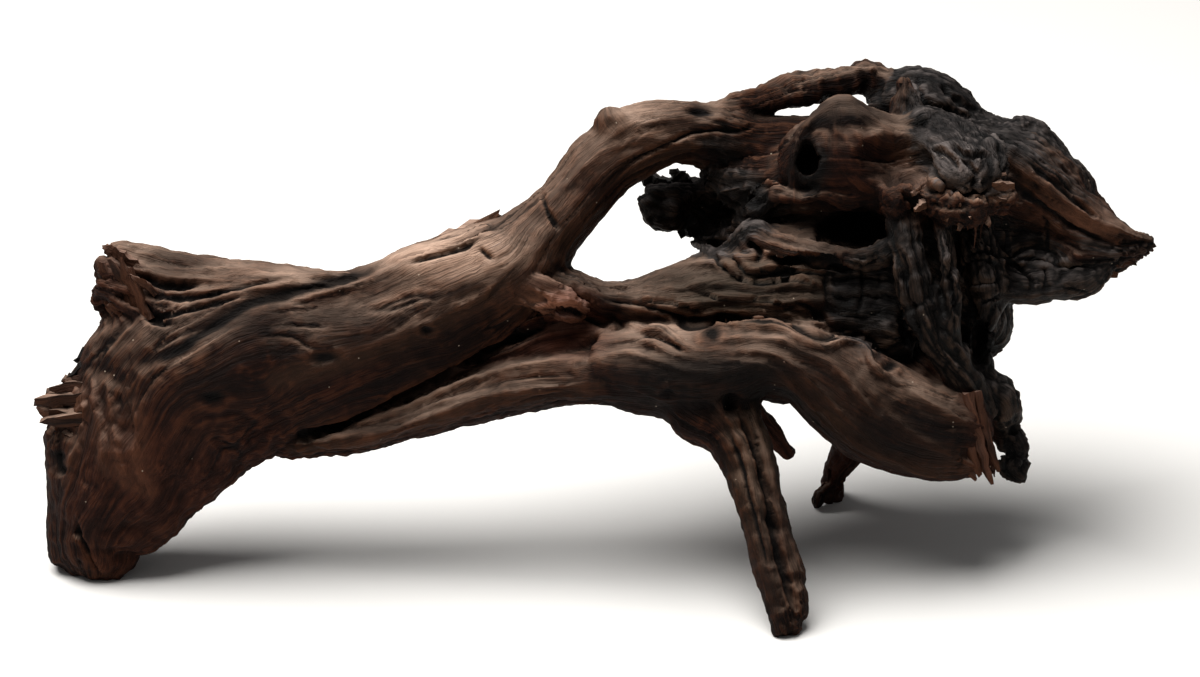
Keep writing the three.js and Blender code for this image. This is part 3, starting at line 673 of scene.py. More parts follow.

# %% [markdown]
# ## Folds, cracks and knots
#
# What makes this piece itself is where its folds and cracks run, and no pattern gives that. Each is a stroke:
# a line of points in the drawing, across and up in millimetres, with a width and a height. The strokes move
# the points of the skin that face the eye, as a carving tool would. A sculpt brush does the same by hand,
# but a brush stroke can't be repeated from a script.
#
# A fold is a round ridge, a crack is a sharp groove, and a lip lifts the wood to the left of its line and
# lets it fall away slowly, like a torn layer over the one below.

# %% The strokes
FOLD, CRACK, LIP = "fold", "crack", "lip"
STROKES = [
    # The long crack between trunk and lower strand, the valleys of the left end and the foot's split
    (CRACK, 3.5, 9, [(-150, 99.5), (-130, 106), (-100, 120.5), (-75, 134), (-60, 142), (-35, 153),
                     (-20, 162)]),
    (LIP, 12, 3, [(-150, 102), (-130, 108), (-100, 123), (-75, 137), (-60, 145), (-35, 156), (-20, 165)]),
    (CRACK, 5, 2, [(-235, 136), (-215, 140), (-200, 150.5), (-175, 166), (-150, 173), (-105, 187)]),
    (CRACK, 2.5, 5, [(-237, 182.5), (-226, 178), (-214, 175), (-200, 176)]),
    (CRACK, 2.5, 5, [(-241, 170), (-230, 165), (-221, 157), (-214, 156)]),
    (CRACK, 1.6, 2.5, [(-232, 160), (-218, 160), (-200, 164), (-178, 170)]),
    (CRACK, 1.4, 2, [(-228, 170), (-205, 169), (-180, 174), (-160, 178)]),
    (CRACK, 1.8, 4, [(-261, 58), (-261, 50.5), (-257.5, 45.5), (-254, 39), (-250, 33)]),
    (CRACK, 5, 4, [(-272, 94), (-271, 86), (-268, 80)]),
    (LIP, 14, 2.6, [(-50, 204), (-62, 199), (-80, 192), (-110, 184)]),
    (CRACK, 1.6, 2.5, [(-60, 198), (-70, 192), (-95, 185)]),
    (CRACK, 1.4, 2.5, [(-29, 221), (-26, 212), (-20, 203)]),
    (CRACK, 1.4, 2, [(-60, 193), (-54, 188)]),
    # The arch
    (CRACK, 1.5, 3, [(10, 235), (32, 245), (45, 251), (58, 253), (70, 252.5), (78, 256)]),
    (FOLD, 3, 1.2, [(-8, 236), (10, 252), (30, 258), (46, 260)]),
    # The torn window and the folds over the belly
    (CRACK, 2, 3, [(0, 168), (20, 165.5), (32, 162), (45, 158), (60, 159)]),
    (CRACK, 3, 4, [(36, 161), (43, 155), (55, 155), (60, 158), (72, 159)]),
    (LIP, 8, 3, [(72, 157), (60, 155), (50, 153)]),
    (CRACK, 2.5, 4, [(-30, 163.5), (-18, 163), (-6, 159), (4, 154)]),
    (CRACK, 3, 3, [(62, 158), (76, 159), (90, 158), (99, 154), (106, 150), (114, 149), (122, 152),
                   (134, 148),
                   (140, 140), (145, 133)]),
    (CRACK, 1.6, 2, [(20, 151), (33, 147), (42, 142)]),
    (CRACK, 5, 6, [(65, 121), (66, 113)]),
    (CRACK, 2.5, 4, [(70, 113), (77.5, 93), (82.5, 73), (90, 38), (98.5, 10)]),
    (CRACK, 1.5, 2, [(64, 104), (71, 84), (77, 60), (84, 30)]),
    # The heart, its diagonal cracks and the ledge under the cave
    (CRACK, 1.8, 3.5, [(57, 190), (63.5, 181.5)]),
    (CRACK, 1.8, 3.5, [(65.5, 190), (70, 184.5), (74, 180)]),
    (CRACK, 2.2, 4, [(73, 198), (80, 192), (78, 186)]),
    (CRACK, 3, 5, [(86, 189), (98, 187), (112, 187), (125, 183)]),
    (LIP, 8, 3, [(82, 190), (98, 190), (112, 190), (128, 186), (140, 190)]),
    (CRACK, 1.8, 3, [(97, 166.5), (105, 164), (115, 155)]),
    (CRACK, 1.8, 3, [(112.5, 180), (114, 163)]),
    (CRACK, 1.6, 3, [(123, 170.5), (142, 169)]),
    (CRACK, 1.6, 3, [(116, 177), (130, 179), (146, 176)]),
    (CRACK, 1.6, 3, [(130, 186), (131, 172), (128, 160)]),
    (CRACK, 6, 7, [(153, 168), (155, 152), (152, 143)]),
    (CRACK, 3, 5, [(153, 190), (152, 178), (154, 160)]),
    (CRACK, 2.4, 5, [(178, 192), (175, 176), (181, 160)]),
    (FOLD, 5, 4, [(141, 158), (144, 152), (147, 146)]),
    (LIP, 6, 2.6, [(70, 180.5), (89, 183), (106, 181), (118, 182)]),
    (LIP, 6, 2.2, [(60, 186), (70, 178), (80, 176), (96, 178), (112, 174)]),
    (LIP, 6, 2.2, [(50, 172), (62, 168), (80, 168), (95, 165)]),
    (LIP, 5, 2.2, [(114, 172), (126, 170), (140, 172), (150, 168)]),
    (LIP, 5, 2, [(116, 162), (128, 160), (140, 162)]),
    (LIP, 5, 2, [(20, 168), (36, 166), (52, 163)]),
    (CRACK, 1.8, 3, [(76, 178), (90, 181), (104, 180)]),
    (CRACK, 6, 6, [(79, 219), (82, 215)]),
    (LIP, 6, 2.5, [(92, 224), (84, 228), (75, 222), (73, 214)]),
    # The ear's fine rings
    (FOLD, 1.2, 0.9, [(115, 255), (124, 247.5), (128.5, 238), (133, 230)]),
    (FOLD, 1.2, 0.9, [(121, 258), (129, 250), (134, 240), (140, 232)]),
    (FOLD, 1.2, 0.8, [(126, 262), (137, 251), (142, 240)]),
    (FOLD, 1.2, 0.8, [(134, 261), (146, 250), (152, 240)]),
    # The burnt blocks of the stub
    (CRACK, 2.2, 5, [(161, 237), (167, 231), (174, 224)]),
    (CRACK, 2, 4, [(175, 247), (182, 241), (194, 241), (196, 232)]),
    (CRACK, 2, 4, [(181, 239), (189, 230)]),
    (CRACK, 2.2, 4, [(160, 226), (168, 222), (176, 223), (184, 220), (194, 222)]),
    (CRACK, 2, 4, [(166, 245), (175, 240), (180, 233)]),
    (CRACK, 2, 4, [(186, 222), (188, 230)]),
    (LIP, 4, 2.5, [(194, 221), (182, 219), (170, 218)]),
    # The curved checks of the beak
    (CRACK, 1.6, 3, [(181.5, 184), (188.5, 188), (198, 186.5), (200, 179.5), (200, 170)]),
    (CRACK, 1.6, 3, [(182.5, 190), (194.5, 192.5), (206, 186.5), (215.5, 178), (215.5, 171)]),
    (CRACK, 1.6, 3, [(181.5, 184), (181.5, 175), (187, 165)]),
    (CRACK, 1.4, 2.5, [(185, 175), (199, 177)]),
    (CRACK, 1.4, 2.5, [(189.5, 165.5), (201.5, 171)]),
    (CRACK, 1.4, 2.5, [(206, 186), (214, 189), (232, 184), (244, 186)]),
    (CRACK, 1.4, 2.5, [(230, 175), (244, 172)]),
    (CRACK, 1.4, 2.5, [(222, 184), (224, 172)]),
    (CRACK, 1.2, 1.5, [(204, 210), (204, 198), (206, 188)]),
    (CRACK, 1.2, 1.5, [(222, 212), (224, 198), (222, 188)]),
    (CRACK, 2, 2.5, [(206, 226), (222, 214), (240, 203), (258, 195)]),
    (CRACK, 1.6, 2.5, [(214, 238), (232, 222), (250, 208)]),
    # The crest
    (CRACK, 2.4, 4, [(158, 276), (164, 266), (176, 262), (184, 256)]),
    (CRACK, 2, 3.5, [(170, 278), (176, 270), (188, 262)]),
    (CRACK, 2, 3, [(186, 252), (200, 250), (214, 244)]),
]

# Knots: centre across and up, half length and half height
KNOTS = [
    (-137.5, 139, 8, 4), (-194, 119, 7, 4), (-86.5, 153, 4, 2.5), (56, 150, 5, 4), (34, 122, 4, 3),
    (50, 262, 8, 4), (145, 135, 4, 3),
]

# Broad shallow bowls and bosses: centre across and up, half width and half height, height
BOWLS = [(146, 238, 22, 14, -11)]
print(len(STROKES), "strokes,", len(KNOTS), "knots and", len(BOWLS), "bowls")

# %% The skin that faces the eye
FRONT_DEPTH = 11.0
FULLY_FACING = 0.35
END_FADE = 5  # a stroke fades out over a fifth of its length at each end
END_LEAST = 0.15
CRACK_EDGE = 0.15  # how far the wood beside a crack stands up, against the crack's depth
LIP_STEP = 0.7  # how far the wood below a lip is cut back, against the lip's height
KNOT_RIM = 0.6  # how far a knot's rim stands up, and how deep its middle is, in mm
KNOT_DEPTH = 2.0
EYE = np.array([-FOOTPRINT_CENTRE[0],
                -EYE_DISTANCE * TILT_COS + EYE_UP * TILT_SIN - FOOTPRINT_CENTRE[1],
                EYE_UP * TILT_COS + EYE_DISTANCE * TILT_SIN]) * MM


def normals_of(thing):
    return values_of(thing.data.vertex_normals, "vector", 3).astype(float)


def front_share(points, normals):
    """1 where a point faces the eye with nothing before it, falling to 0 round the edges."""
    across, depth, up = to_drawing(points).T
    column, row = cells_of(across, up)
    shown = depth < nearest_depths(points)[row, column] + FRONT_DEPTH
    facing = np.sum(normals * unit(EYE - points), axis=1)
    return shown * np.clip(facing / FULLY_FACING, 0, 1), across, up


def stroke_distance(across, up, line):
    """Distance to a line, which side of it (left is positive), and how far the ends fade."""
    best = np.full(len(across), NOTHING)
    side = np.zeros(len(across))
    run = np.zeros(len(across))
    lengths = [math.dist(a, b) for a, b in zip(line, line[1:])]
    done = 0.0
    for (x0, y0), (x1, y1), length in zip(line, line[1:], lengths):
        dx, dy = (x1 - x0) / length, (y1 - y0) / length
        t = np.clip((across - x0) * dx + (up - y0) * dy, 0, length)
        gap_x = across - x0 - t * dx
        gap_y = up - y0 - t * dy
        gap = np.hypot(gap_x, gap_y)
        closer = gap < best
        best = np.where(closer, gap, best)
        side = np.where(closer, np.sign(dx * gap_y - dy * gap_x), side)
        run = np.where(closer, done + t, run)
        done += length
    return best, side, run / done


def carve(across, up):
    """How far the strokes and knots lift the skin, in mm, and how much painted shade the cracks, knots and
    lip steps get.
    """
    lift = np.zeros(len(across))
    dark = np.zeros(len(across))
    for kind, width, height, line in STROKES:
        line = rounded(line)
        xs, ys = np.array(line).T
        reach = 3 * width
        near = np.flatnonzero((across > xs.min() - reach) & (across < xs.max() + reach)
                              & (up > ys.min() - reach) & (up < ys.max() + reach))
        if not len(near):
            continue
        gap, side, run = stroke_distance(across[near], up[near], line)
        fade = np.clip(np.minimum(run, 1 - run) * END_FADE + END_LEAST, 0, 1)
        if kind == FOLD:
            lift[near] += height * fade * np.exp(-((gap / width) ** 2))
        elif kind == CRACK:
            groove = np.clip(1 - gap / width, 0, 1) * fade
            lift[near] -= height * groove
            lift[near] += CRACK_EDGE * height * fade * np.exp(-(((gap - 1.4 * width) / width) ** 2))
            # a crack is painted dark: partly the crack's own dark, partly painted shade
            dark[near] = np.maximum(dark[near], groove)
        else:
            above = np.where(side > 0, np.exp(-gap / width), 0)
            below = np.where(side > 0, 0, np.clip(1 - gap / (0.3 * width), 0, 1))
            lift[near] += height * fade * (above - LIP_STEP * below)
            # the narrow step under a lip is painted dark: a painted shadow of the lip
            dark[near] = np.maximum(dark[near], LIP_STEP * below * fade)
    for x, y, long, tall in KNOTS:
        r = np.hypot((across - x) / long, (up - y) / tall)
        lift += KNOT_RIM * np.exp(-(((r - 1.3) / 0.45) ** 2)) - KNOT_DEPTH * np.exp(-((r / 0.7) ** 2))
        dark = np.maximum(dark, np.exp(-((r / 0.8) ** 2)))
    for x, y, wide, tall, height in BOWLS:
        r = np.hypot((across - x) / wide, (up - y) / tall)
        lift += height * np.clip(1 - r * r, 0, 1) ** 1.5
    return lift, dark


normals = normals_of(body)
front, across, up = front_share(rest, normals)
lift, dark = carve(across, up)
dark *= front > 0
carved = rest + normals * (lift * front * MM)[:, None]
set_points(body, carved)
print("carved: lowest %.1f, highest %.1f mm" % ((lift * front).min(), (lift * front).max()))

# %% [markdown]
# ## Where the wood is burnt, torn, bleached and green, and where shade is painted
#
# The limbs already say how they weathered. Some places differ from the limb that they lie on, so a few soft
# patches are added: an ellipse in the drawing, with the finish that it gives. They are blobs of a named
# finish, not a picture. The black patches are painted shade and shadow, with some soot and stain.

# %% Patches of finish
# Finish: centre across and up, half width, half height, amount
PATCHES = {
    "char": [
        (-236, 108, 5, 9, 0.2), (148, 165, 26, 26, 0.8), (62, 246, 14, 5, 0.6), (106, 237, 10, 13, 0.6),
        (-35, 187, 16, 12, 0.3), (180, 242, 16, 10, 0.9), (50, 261, 7, 3, 0.4), (200, 178, 26, 22, 0.9),
        (180, 264, 24, 14, 0.9), (60, 212, 22, 18, 0.8), (236, 176, 24, 8, 0.4),
    ],
    "red": [
        (-13, 163, 13, 9, 0.9), (-215, 66, 46, 40, 0.45), (-20, 149, 9, 8, 1.0), (-242, 172, 13, 14, 0.3),
        (192, 96, 7, 18, 0.6), (145, 151, 8, 9, 0.9), (-14, 150, 16, 9, 0.4), (225, 200, 30, 14, 0.4),
        (140, 240, 22, 16, 0.2), (-262, 115, 14, 12, 0.3),
    ],
    "pale": [
        (-80, 192, 42, 10, 1.0), (-25, 210, 24, 16, 0.25), (199, 222, 6, 4, 0.6), (-20, 167, 13, 5, 1.0),
        (-40, 184, 16, 8, 0.2), (10, 248, 32, 18, 0.3), (75, 150, 20, 5, 0.25), (25, 152, 24, 5, 0.25),
        (-240, 190, 14, 5, 0.5), (172, 238, 17, 11, 1.0), (45, 215, 18, 16, 0.6), (250, 208, 28, 8, 0.5),
        (170, 246, 9, 5, 0.4), (-268, 116, 10, 8, 0.5),
    ],
    "broken": [
        (182, 218, 25, 10, 0.9), (-20, 166, 14, 7, 1.0), (-243, 172, 13, 14, 0.8),
        (-268, 112, 14, 16, 0.7), (190, 90, 9, 12, 0.8), (266, 190, 14, 9, 0.9), (205, 92, 9, 14, 0.7),
        (110, 70, 9, 9, 0.7), (98, 6, 8, 8, 0.5), (45, 206, 24, 12, 0.6), (60, 236, 16, 6, 0.9),
        (200, 262, 22, 8, 0.5),
    ],
    "green": [
        (70, 172, 34, 14, 0.9), (110, 176, 22, 10, 0.8), (40, 130, 30, 10, 0.4), (150, 186, 16, 10, 0.8),
        (168, 250, 20, 8, 0.6), (75, 85, 10, 40, 0.4),
    ],
    # black: painted shadow under overhangs and painted dark inside hollows, with some soot and stain
    "shade_and_stain": [
        (-217, 153, 14, 3, 0.5), (-155, 155, 62, 11, 0.62), (66, 120, 60, 9, 0.7),
        (150, 100, 34, 14, 0.75), (56, 132, 50, 8, 0.9), (118, 118, 30, 12, 0.5), (-40, 130, 60, 7, 0.3),
        (-222, 184, 30, 7, 0.45), (132, 168, 26, 13, 0.92), (66, 176, 40, 9, 0.5), (86, 50, 10, 50, 0.5),
        (122, 262, 28, 8, 0.8), (160, 176, 8, 20, 0.5), (127, 203, 25, 12, 1.0), (105, 236, 9, 12, 1.0),
        (79, 217, 8, 7, 1.0), (146, 236, 15, 10, 0.3), (206, 88, 9, 14, 0.8), (156, 152, 7, 14, 0.9),
        (193, 146, 6, 18, 0.9), (62, 240, 12, 5, 0.9), (66, 117, 5, 7, 0.8), (172, 270, 18, 8, 0.55),
        (180, 257, 20, 4, 0.7), (178, 211, 18, 5, 0.35), (204, 243, 9, 12, 0.6), (104, 142, 40, 3, 0.5),
    ],
    "rough": [
        (-225, 46, 40, 26, 1.2), (-180, 92, 34, 16, 1.0), (-250, 90, 20, 40, 0.8),
        (-246, 176, 16, 18, 0.8),
    ],
}
PATCH_END = 1.6  # a patch has faded out at this many of its half widths from its centre


def patches(name, across, up):
    amount = np.zeros(len(across))
    for x, y, wide, tall, most in PATCHES[name]:
        r = np.hypot((across - x) / wide, (up - y) / tall)
        amount = np.maximum(amount, most * np.clip(PATCH_END - r, 0, 1))
    return amount


char = np.clip(of_limbs("char", first, second, share) + patches("char", across, up), 0, 1)
furrow = of_limbs("furrow", first, second, share)


def write_attribute(mesh, name, values, domain="POINT"):
    vector = values.ndim == 2
    old = mesh.attributes.get(name)
    if old:
        mesh.attributes.remove(old)
    kind, field = ("FLOAT_VECTOR", "vector") if vector else ("FLOAT", "value")
    attribute = mesh.attributes.new(name, kind, domain)
    attribute.data.foreach_set(field, np.ascontiguousarray(values, dtype=np.float32).ravel())


rugged = of_limbs("rugged", first, second, share) + patches("rough", across, up)
broken = patches("broken", across, up)
facts = dict(rest_place=rest, grain_one=grain_one, grain_two=grain_two, share=share, char=char,
             furrow=furrow, rugged=rugged, broken=broken, dark=dark, front=front)
for name, values in facts.items():
    write_attribute(body.data, name, values)

# %% [markdown]
# ## Grain and checks as relief
#
# Weathering takes the soft early wood and leaves the hard late wood standing, so the whole skin is furrowed
# along the grain. Burnt wood shrinks and splits into blocks a centimetre across. Both are patterns of the
# grain coordinates. The recipe is written once and used twice: Geometry Nodes move the skin by it, and the
# material uses it again for colour, so that the dark lines lie in the real grooves.

# %% One function adds a node, and the recipe of the grain
FURROW = (120, 15, 15)  # a furrow's length, and its width both ways, in mm
FIBRE = (40, 2.4, 2.4)
SPLIT = (90, 8, 8)
CHECK = (30, 17, 17)  # a burnt block
FURROW_DEPTH = 2.8
FIBRE_DEPTH = 1.1
SPLIT_DEPTH = 1.7
CHECK_DEPTH = 1.2
BLOCK_STEP = 1.2  # how far one burnt block stands over the next
LUMPS = (26, 2.8)  # size and height of the lumps that a root has all over, in mm
CREASES = (13, 2.6)  # and of the sharp-edged dents
PITS = (6, 0.9)
BREAK = (14, 5, 5)  # a broken splinter's stump
BREAK_DEPTH = 4.5
SWAY = (60, 30, 30)  # the grain's swings, and how far they take it sideways
SWAY_REACH = 16
SPLIT_WIDTH = 0.045  # against the swing of the pattern that draws it
SPLIT_PLACES = (55, 22, 22)  # stretches with splits and without
BLOCK_BEND = (9, 9, 9)  # waves in the edges of burnt blocks, and their height in block sizes
BLOCK_WAVE = (0.3, 0.3, 0.3)
GROOVE_WIDTH = 0.08  # in block sizes
CREASE_LEVEL = 0.12
STUMP_LEVEL = 0.6


def add(tree, kind, inputs=None, **settings):
    node = tree.nodes.new(kind)
    for key, value in settings.items():
        setattr(node, key, value)
    for key, value in (inputs or {}).items():
        if isinstance(value, bpy.types.NodeSocket):
            tree.links.new(value, node.inputs[key])
        else:
            node.inputs[key].default_value = value
    return node


def calc(tree, operation, *values, clamp=False):
    node = add(tree, "ShaderNodeMath", dict(enumerate(values)), operation=operation, use_clamp=clamp)
    return node.outputs[0]


def plus(tree, *values, clamp=False):
    return calc(tree, "ADD", *values, clamp=clamp)


def minus(tree, *values, clamp=False):
    return calc(tree, "SUBTRACT", *values, clamp=clamp)


def times(tree, *values):
    return calc(tree, "MULTIPLY", *values)


def larger(tree, *values):
    return calc(tree, "MAXIMUM", *values)


def vector_calc(tree, operation, *values):
    return add(tree, "ShaderNodeVectorMath", dict(enumerate(values)), operation=operation).outputs[0]


def mix(tree, amount, under, over):
    return add(tree, "ShaderNodeMix", {0: amount, 2: under, 3: over}, data_type="FLOAT").outputs[0]


def part(tree, vector, number=0):
    return add(tree, "ShaderNodeSeparateXYZ", {0: vector}).outputs[number]


def span(tree, value, low, high, to_low=0.0, to_high=1.0):
    return add(tree, "ShaderNodeMapRange", {0: value, 1: low, 2: high, 3: to_low, 4: to_high}).outputs[0]


def in_sizes(tree, place, size):
    """A place measured in steps of a size, with one size for each direction."""
    return vector_calc(tree, "MULTIPLY", place, [1 / s for s in size])


def noise(tree, place, size, detail=2.0, roughness=0.55):
    return add(tree, "ShaderNodeTexNoise", {"Vector": in_sizes(tree, place, size), "Scale": 1.0,
                                            "Detail": detail, "Roughness": roughness})


def cells(tree, place, scale=1.0, randomness=1.0, feature="F1"):
    return add(tree, "ShaderNodeTexVoronoi", {"Vector": place, "Scale": scale, "Randomness": randomness},
               feature=feature).outputs


def wander(tree, grain):
    """The grain swings from side to side as it runs, and round whatever it met as it grew."""
    swing = noise(tree, grain, SWAY, 1.0).outputs["Color"]
    centred = vector_calc(tree, "SUBTRACT", swing, (0.5, 0.5, 0.5))
    sideways = vector_calc(tree, "MULTIPLY", centred, (0, SWAY_REACH, SWAY_REACH))
    return vector_calc(tree, "ADD", grain, sideways)


def splits(tree, grain):
    """Hair cracks along the grain: 1 in a crack."""
    line = noise(tree, grain, SPLIT, 1.0).outputs[0]
    off = calc(tree, "ABSOLUTE", minus(tree, line, 0.5))
    thin = minus(tree, 1.0, calc(tree, "DIVIDE", off, SPLIT_WIDTH), clamp=True)
    where = noise(tree, grain, SPLIT_PLACES, 1.0).outputs[0]
    return times(tree, thin, span(tree, where, 0.44, 0.57))


def checks(tree, grain):
    """Distance from the edge of a burnt block, in block sizes, and a number from 0 to 1 for each block."""
    scaled = in_sizes(tree, grain, CHECK)
    bend = noise(tree, grain, BLOCK_BEND, 1.0).outputs["Color"]
    bent = vector_calc(tree, "MULTIPLY_ADD", bend, BLOCK_WAVE, scaled)
    edge, block = [cells(tree, bent, 1.0, 0.9, feature) for feature in ("DISTANCE_TO_EDGE", "F1")]
    return edge[0], part(tree, block["Color"])


def relief(tree, grain, furrow, char):
    """Height of the skin in millimetres over its smooth form."""
    grain = wander(tree, grain)
    broad = minus(tree, noise(tree, grain, FURROW, 2.0).outputs[0], 0.5)
    fine = minus(tree, noise(tree, grain, FIBRE, 3.0).outputs[0], 0.5)
    height = plus(tree, times(tree, broad, FURROW_DEPTH), times(tree, fine, FIBRE_DEPTH))
    height = minus(tree, height, times(tree, splits(tree, grain), SPLIT_DEPTH))
    height = times(tree, height, furrow)
    edge, number = checks(tree, grain)
    top = calc(tree, "MINIMUM", calc(tree, "DIVIDE", edge, GROOVE_WIDTH), 1.0)
    groove = times(tree, minus(tree, top, 1.0), CHECK_DEPTH)
    step = times(tree, minus(tree, number, 0.5), BLOCK_STEP)
    return plus(tree, height, times(tree, plus(tree, groove, step), char))


def ruggedness(tree, place, grain, rugged, broken):
    """Lumps and pits that follow no grain, and the stumps of broken fibre."""
    height = 0.0
    for size, tall in (LUMPS, CREASES, PITS):
        lump = minus(tree, noise(tree, place, [size * MM] * 3, 1.0).outputs[0], 0.5)
        if size == CREASES[0]:
            lump = minus(tree, CREASE_LEVEL, calc(tree, "ABSOLUTE", lump))
        height = plus(tree, height, times(tree, lump, 2 * tall))
    stump = cells(tree, in_sizes(tree, grain, BREAK))
    stand = minus(tree, part(tree, stump["Color"]), STUMP_LEVEL)
    snapped = times(tree, stand, times(tree, broken, BREAK_DEPTH))
    return plus(tree, times(tree, height, rugged), snapped)


# %% The relief moves the skin
def relief_tree():
    tree = bpy.data.node_groups.new("weathering", "GeometryNodeTree")
    tree.interface.new_socket("Geometry", in_out="INPUT", socket_type="NodeSocketGeometry")
    tree.interface.new_socket("Geometry", in_out="OUTPUT", socket_type="NodeSocketGeometry")
    start = add(tree, "NodeGroupInput")
    end = add(tree, "NodeGroupOutput")

    def stored(name, data_type="FLOAT"):
        return add(tree, "GeometryNodeInputNamedAttribute", {"Name": name}, data_type=data_type).outputs[0]

    vector = "FLOAT_VECTOR"
    one, two = [relief(tree, stored(name, vector), stored("furrow"), stored("char"))
                for name in ("grain_one", "grain_two")]
    lumps = ruggedness(tree, stored("rest_place", vector), stored("grain_one", vector), stored("rugged"),
                       stored("broken"))
    height = plus(tree, mix(tree, stored("share"), two, one), lumps)
    normal = add(tree, "GeometryNodeInputNormal").outputs[0]
    offset = add(tree, "ShaderNodeVectorMath", {0: normal, 3: times(tree, height, MM)}, operation="SCALE")
    moved = add(tree, "GeometryNodeSetPosition", {"Geometry": start.outputs[0], "Offset": offset.outputs[0]})
    tree.links.new(moved.outputs[0], end.inputs[0])
    return tree


activate(body)
weathering = body.modifiers.new("Weathering", "NODES")
weathering.node_group = relief_tree()
bpy.ops.object.modifier_apply(modifier=weathering.name)
print("weathered:", len(body.data.vertices), "points")

# %% Fewer faces where the wood is plain, and level feet
MOST_TRIANGLES = 192000


def triangles_of(thing):
    return sum(len(face.vertices) - 2 for face in thing.data.polygons)


apply_modifier(body, "DECIMATE", ratio=MOST_TRIANGLES / triangles_of(body))
worn = points_of(body)
worn[:, 2] = np.maximum(worn[:, 2], 0)
set_points(body, worn)
print("thinned to", triangles_of(body), "triangles")

# %% [markdown]
# ## Attributes for the finish
#
# The finish reads its facts from the mesh: the grain coordinates of the two nearest limbs, kept for each
# corner of a face so that no face mixes two limbs, and a few masks. A hollow is found by comparing the skin
# with a smoothed copy of itself, which tells a groove from a ridge.

# %% Read back what the mesh carries
def read_attribute(mesh, name):
    attribute = mesh.attributes[name]
    field, width = ("vector", 3) if attribute.data_type == "FLOAT_VECTOR" else ("value", 1)
    return values_of(attribute.data, field, width).astype(float)


def smoothed(points, edges, rounds):
    count = len(points)
    start, end = np.concatenate([edges, edges[:, ::-1]]).T
    degree = np.maximum(np.bincount(start, minlength=count), 1)
    soft = points.copy()
    for _ in range(rounds):
        pulled = [np.bincount(start, weights=soft[end, axis], minlength=count) for axis in range(3)]
        soft = 0.5 * soft + 0.5 * np.stack(pulled, axis=1) / degree[:, None]
    return soft


FINE_ROUNDS = 3
BROAD_ROUNDS = 36
mesh = body.data
rest = read_attribute(mesh, "rest_place")
points = points_of(body)
normals = normals_of(body)
edges = values_of(mesh.edges, "vertices", 2, np.int32)
fine_soft = smoothed(points, edges, FINE_ROUNDS)
broad_soft = smoothed(fine_soft, edges, BROAD_ROUNDS)
fine_hollow = np.sum((fine_soft - points) * normals, axis=1) / MM
broad_hollow = np.sum((broad_soft - points) * normals, axis=1) / MM
print("hollows: fine %.2f mm, broad %.2f mm" % (np.abs(fine_hollow).mean(), np.abs(broad_hollow).mean()))

# %% Grain for each corner, and the masks for each point
corner_points = values_of(mesh.loops, "vertex_index", kind=np.int32)
corner_faces = values_of(mesh.polygons, "loop_total", kind=np.int32)
corner_face = np.repeat(np.arange(len(corner_faces)), corner_faces)
gaps = limb_gaps(rest / MM)
summed = [np.bincount(corner_face, weights=gaps[corner_points, number]) for number in range(len(NAMES))]
face_gaps = np.stack(summed, axis=1) / corner_faces[:, None]
order = np.argsort(face_gaps, axis=1)[:, :2][corner_face]
rows = np.arange(len(corner_points))
corner_gaps = gaps[corner_points]
share = share_of(corner_gaps[rows, order[:, 0]], corner_gaps[rows, order[:, 1]])
corner_rest = rest[corner_points] / MM
grain_one, grain_two = grain_of(corner_rest, order[:, 0], order[:, 1])
write_attribute(mesh, "grain_one", grain_one, "CORNER")
write_attribute(mesh, "grain_two", grain_two, "CORNER")
write_attribute(mesh, "share", share, "CORNER")

across, _, up = to_drawing(rest).T
point_order = np.argsort(gaps, axis=1)[:, :2]
rows = np.arange(len(rest))
point_share = share_of(gaps[rows, point_order[:, 0]], gaps[rows, point_order[:, 1]])
limb_value = {key: of_limbs(key, point_order[:, 0], point_order[:, 1], point_share)
              for key in ("char", "furrow", "red", "pale")}
wear = np.stack([
    limb_value["furrow"],
    np.clip(limb_value["char"] + patches("char", across, up), 0, 1),
    np.clip(limb_value["red"] + patches("red", across, up), 0, 1),
], axis=1)
front = np.clip(read_attribute(mesh, "front") * 3, 0, 1)
bleached = np.maximum(limb_value["pale"], patches("pale", across, up) * front)
# the black patches carry painted shade and shadow
green, shade_and_stain = (patches(name, across, up) * front for name in ("green", "shade_and_stain"))
bleach_moss_and_shade = np.stack([bleached, green, shade_and_stain], axis=1)
hollow = np.stack([fine_hollow, broad_hollow, read_attribute(mesh, "dark")], axis=1)
write_attribute(mesh, "wear", wear)
write_attribute(mesh, "bleach_moss_and_shade", bleach_moss_and_shade)
write_attribute(mesh, "hollow", hollow)
for name in ("rest_place", "char", "furrow", "rugged", "broken", "dark", "front"):
    mesh.attributes.remove(mesh.attributes[name])
print("attributes:", [attribute.name for attribute in mesh.attributes])

# %% [markdown]
# ## The finish: weathered root wood
#
# Wood that lay in water and sand is dry and open-grained: grey-brown and pale where sun and rubbing reach,
# dark brown in the furrows, black and faintly shining where it was burnt, red-brown where it tore lately.
# The finish also paints light and shade: wood that faces up is painted paler, the rest and every hollow
# darker.
# An image would tie the finish to one side. Here each colour is mixed by the grain coordinates and by the
# masks, so it runs with the fibre on every side.

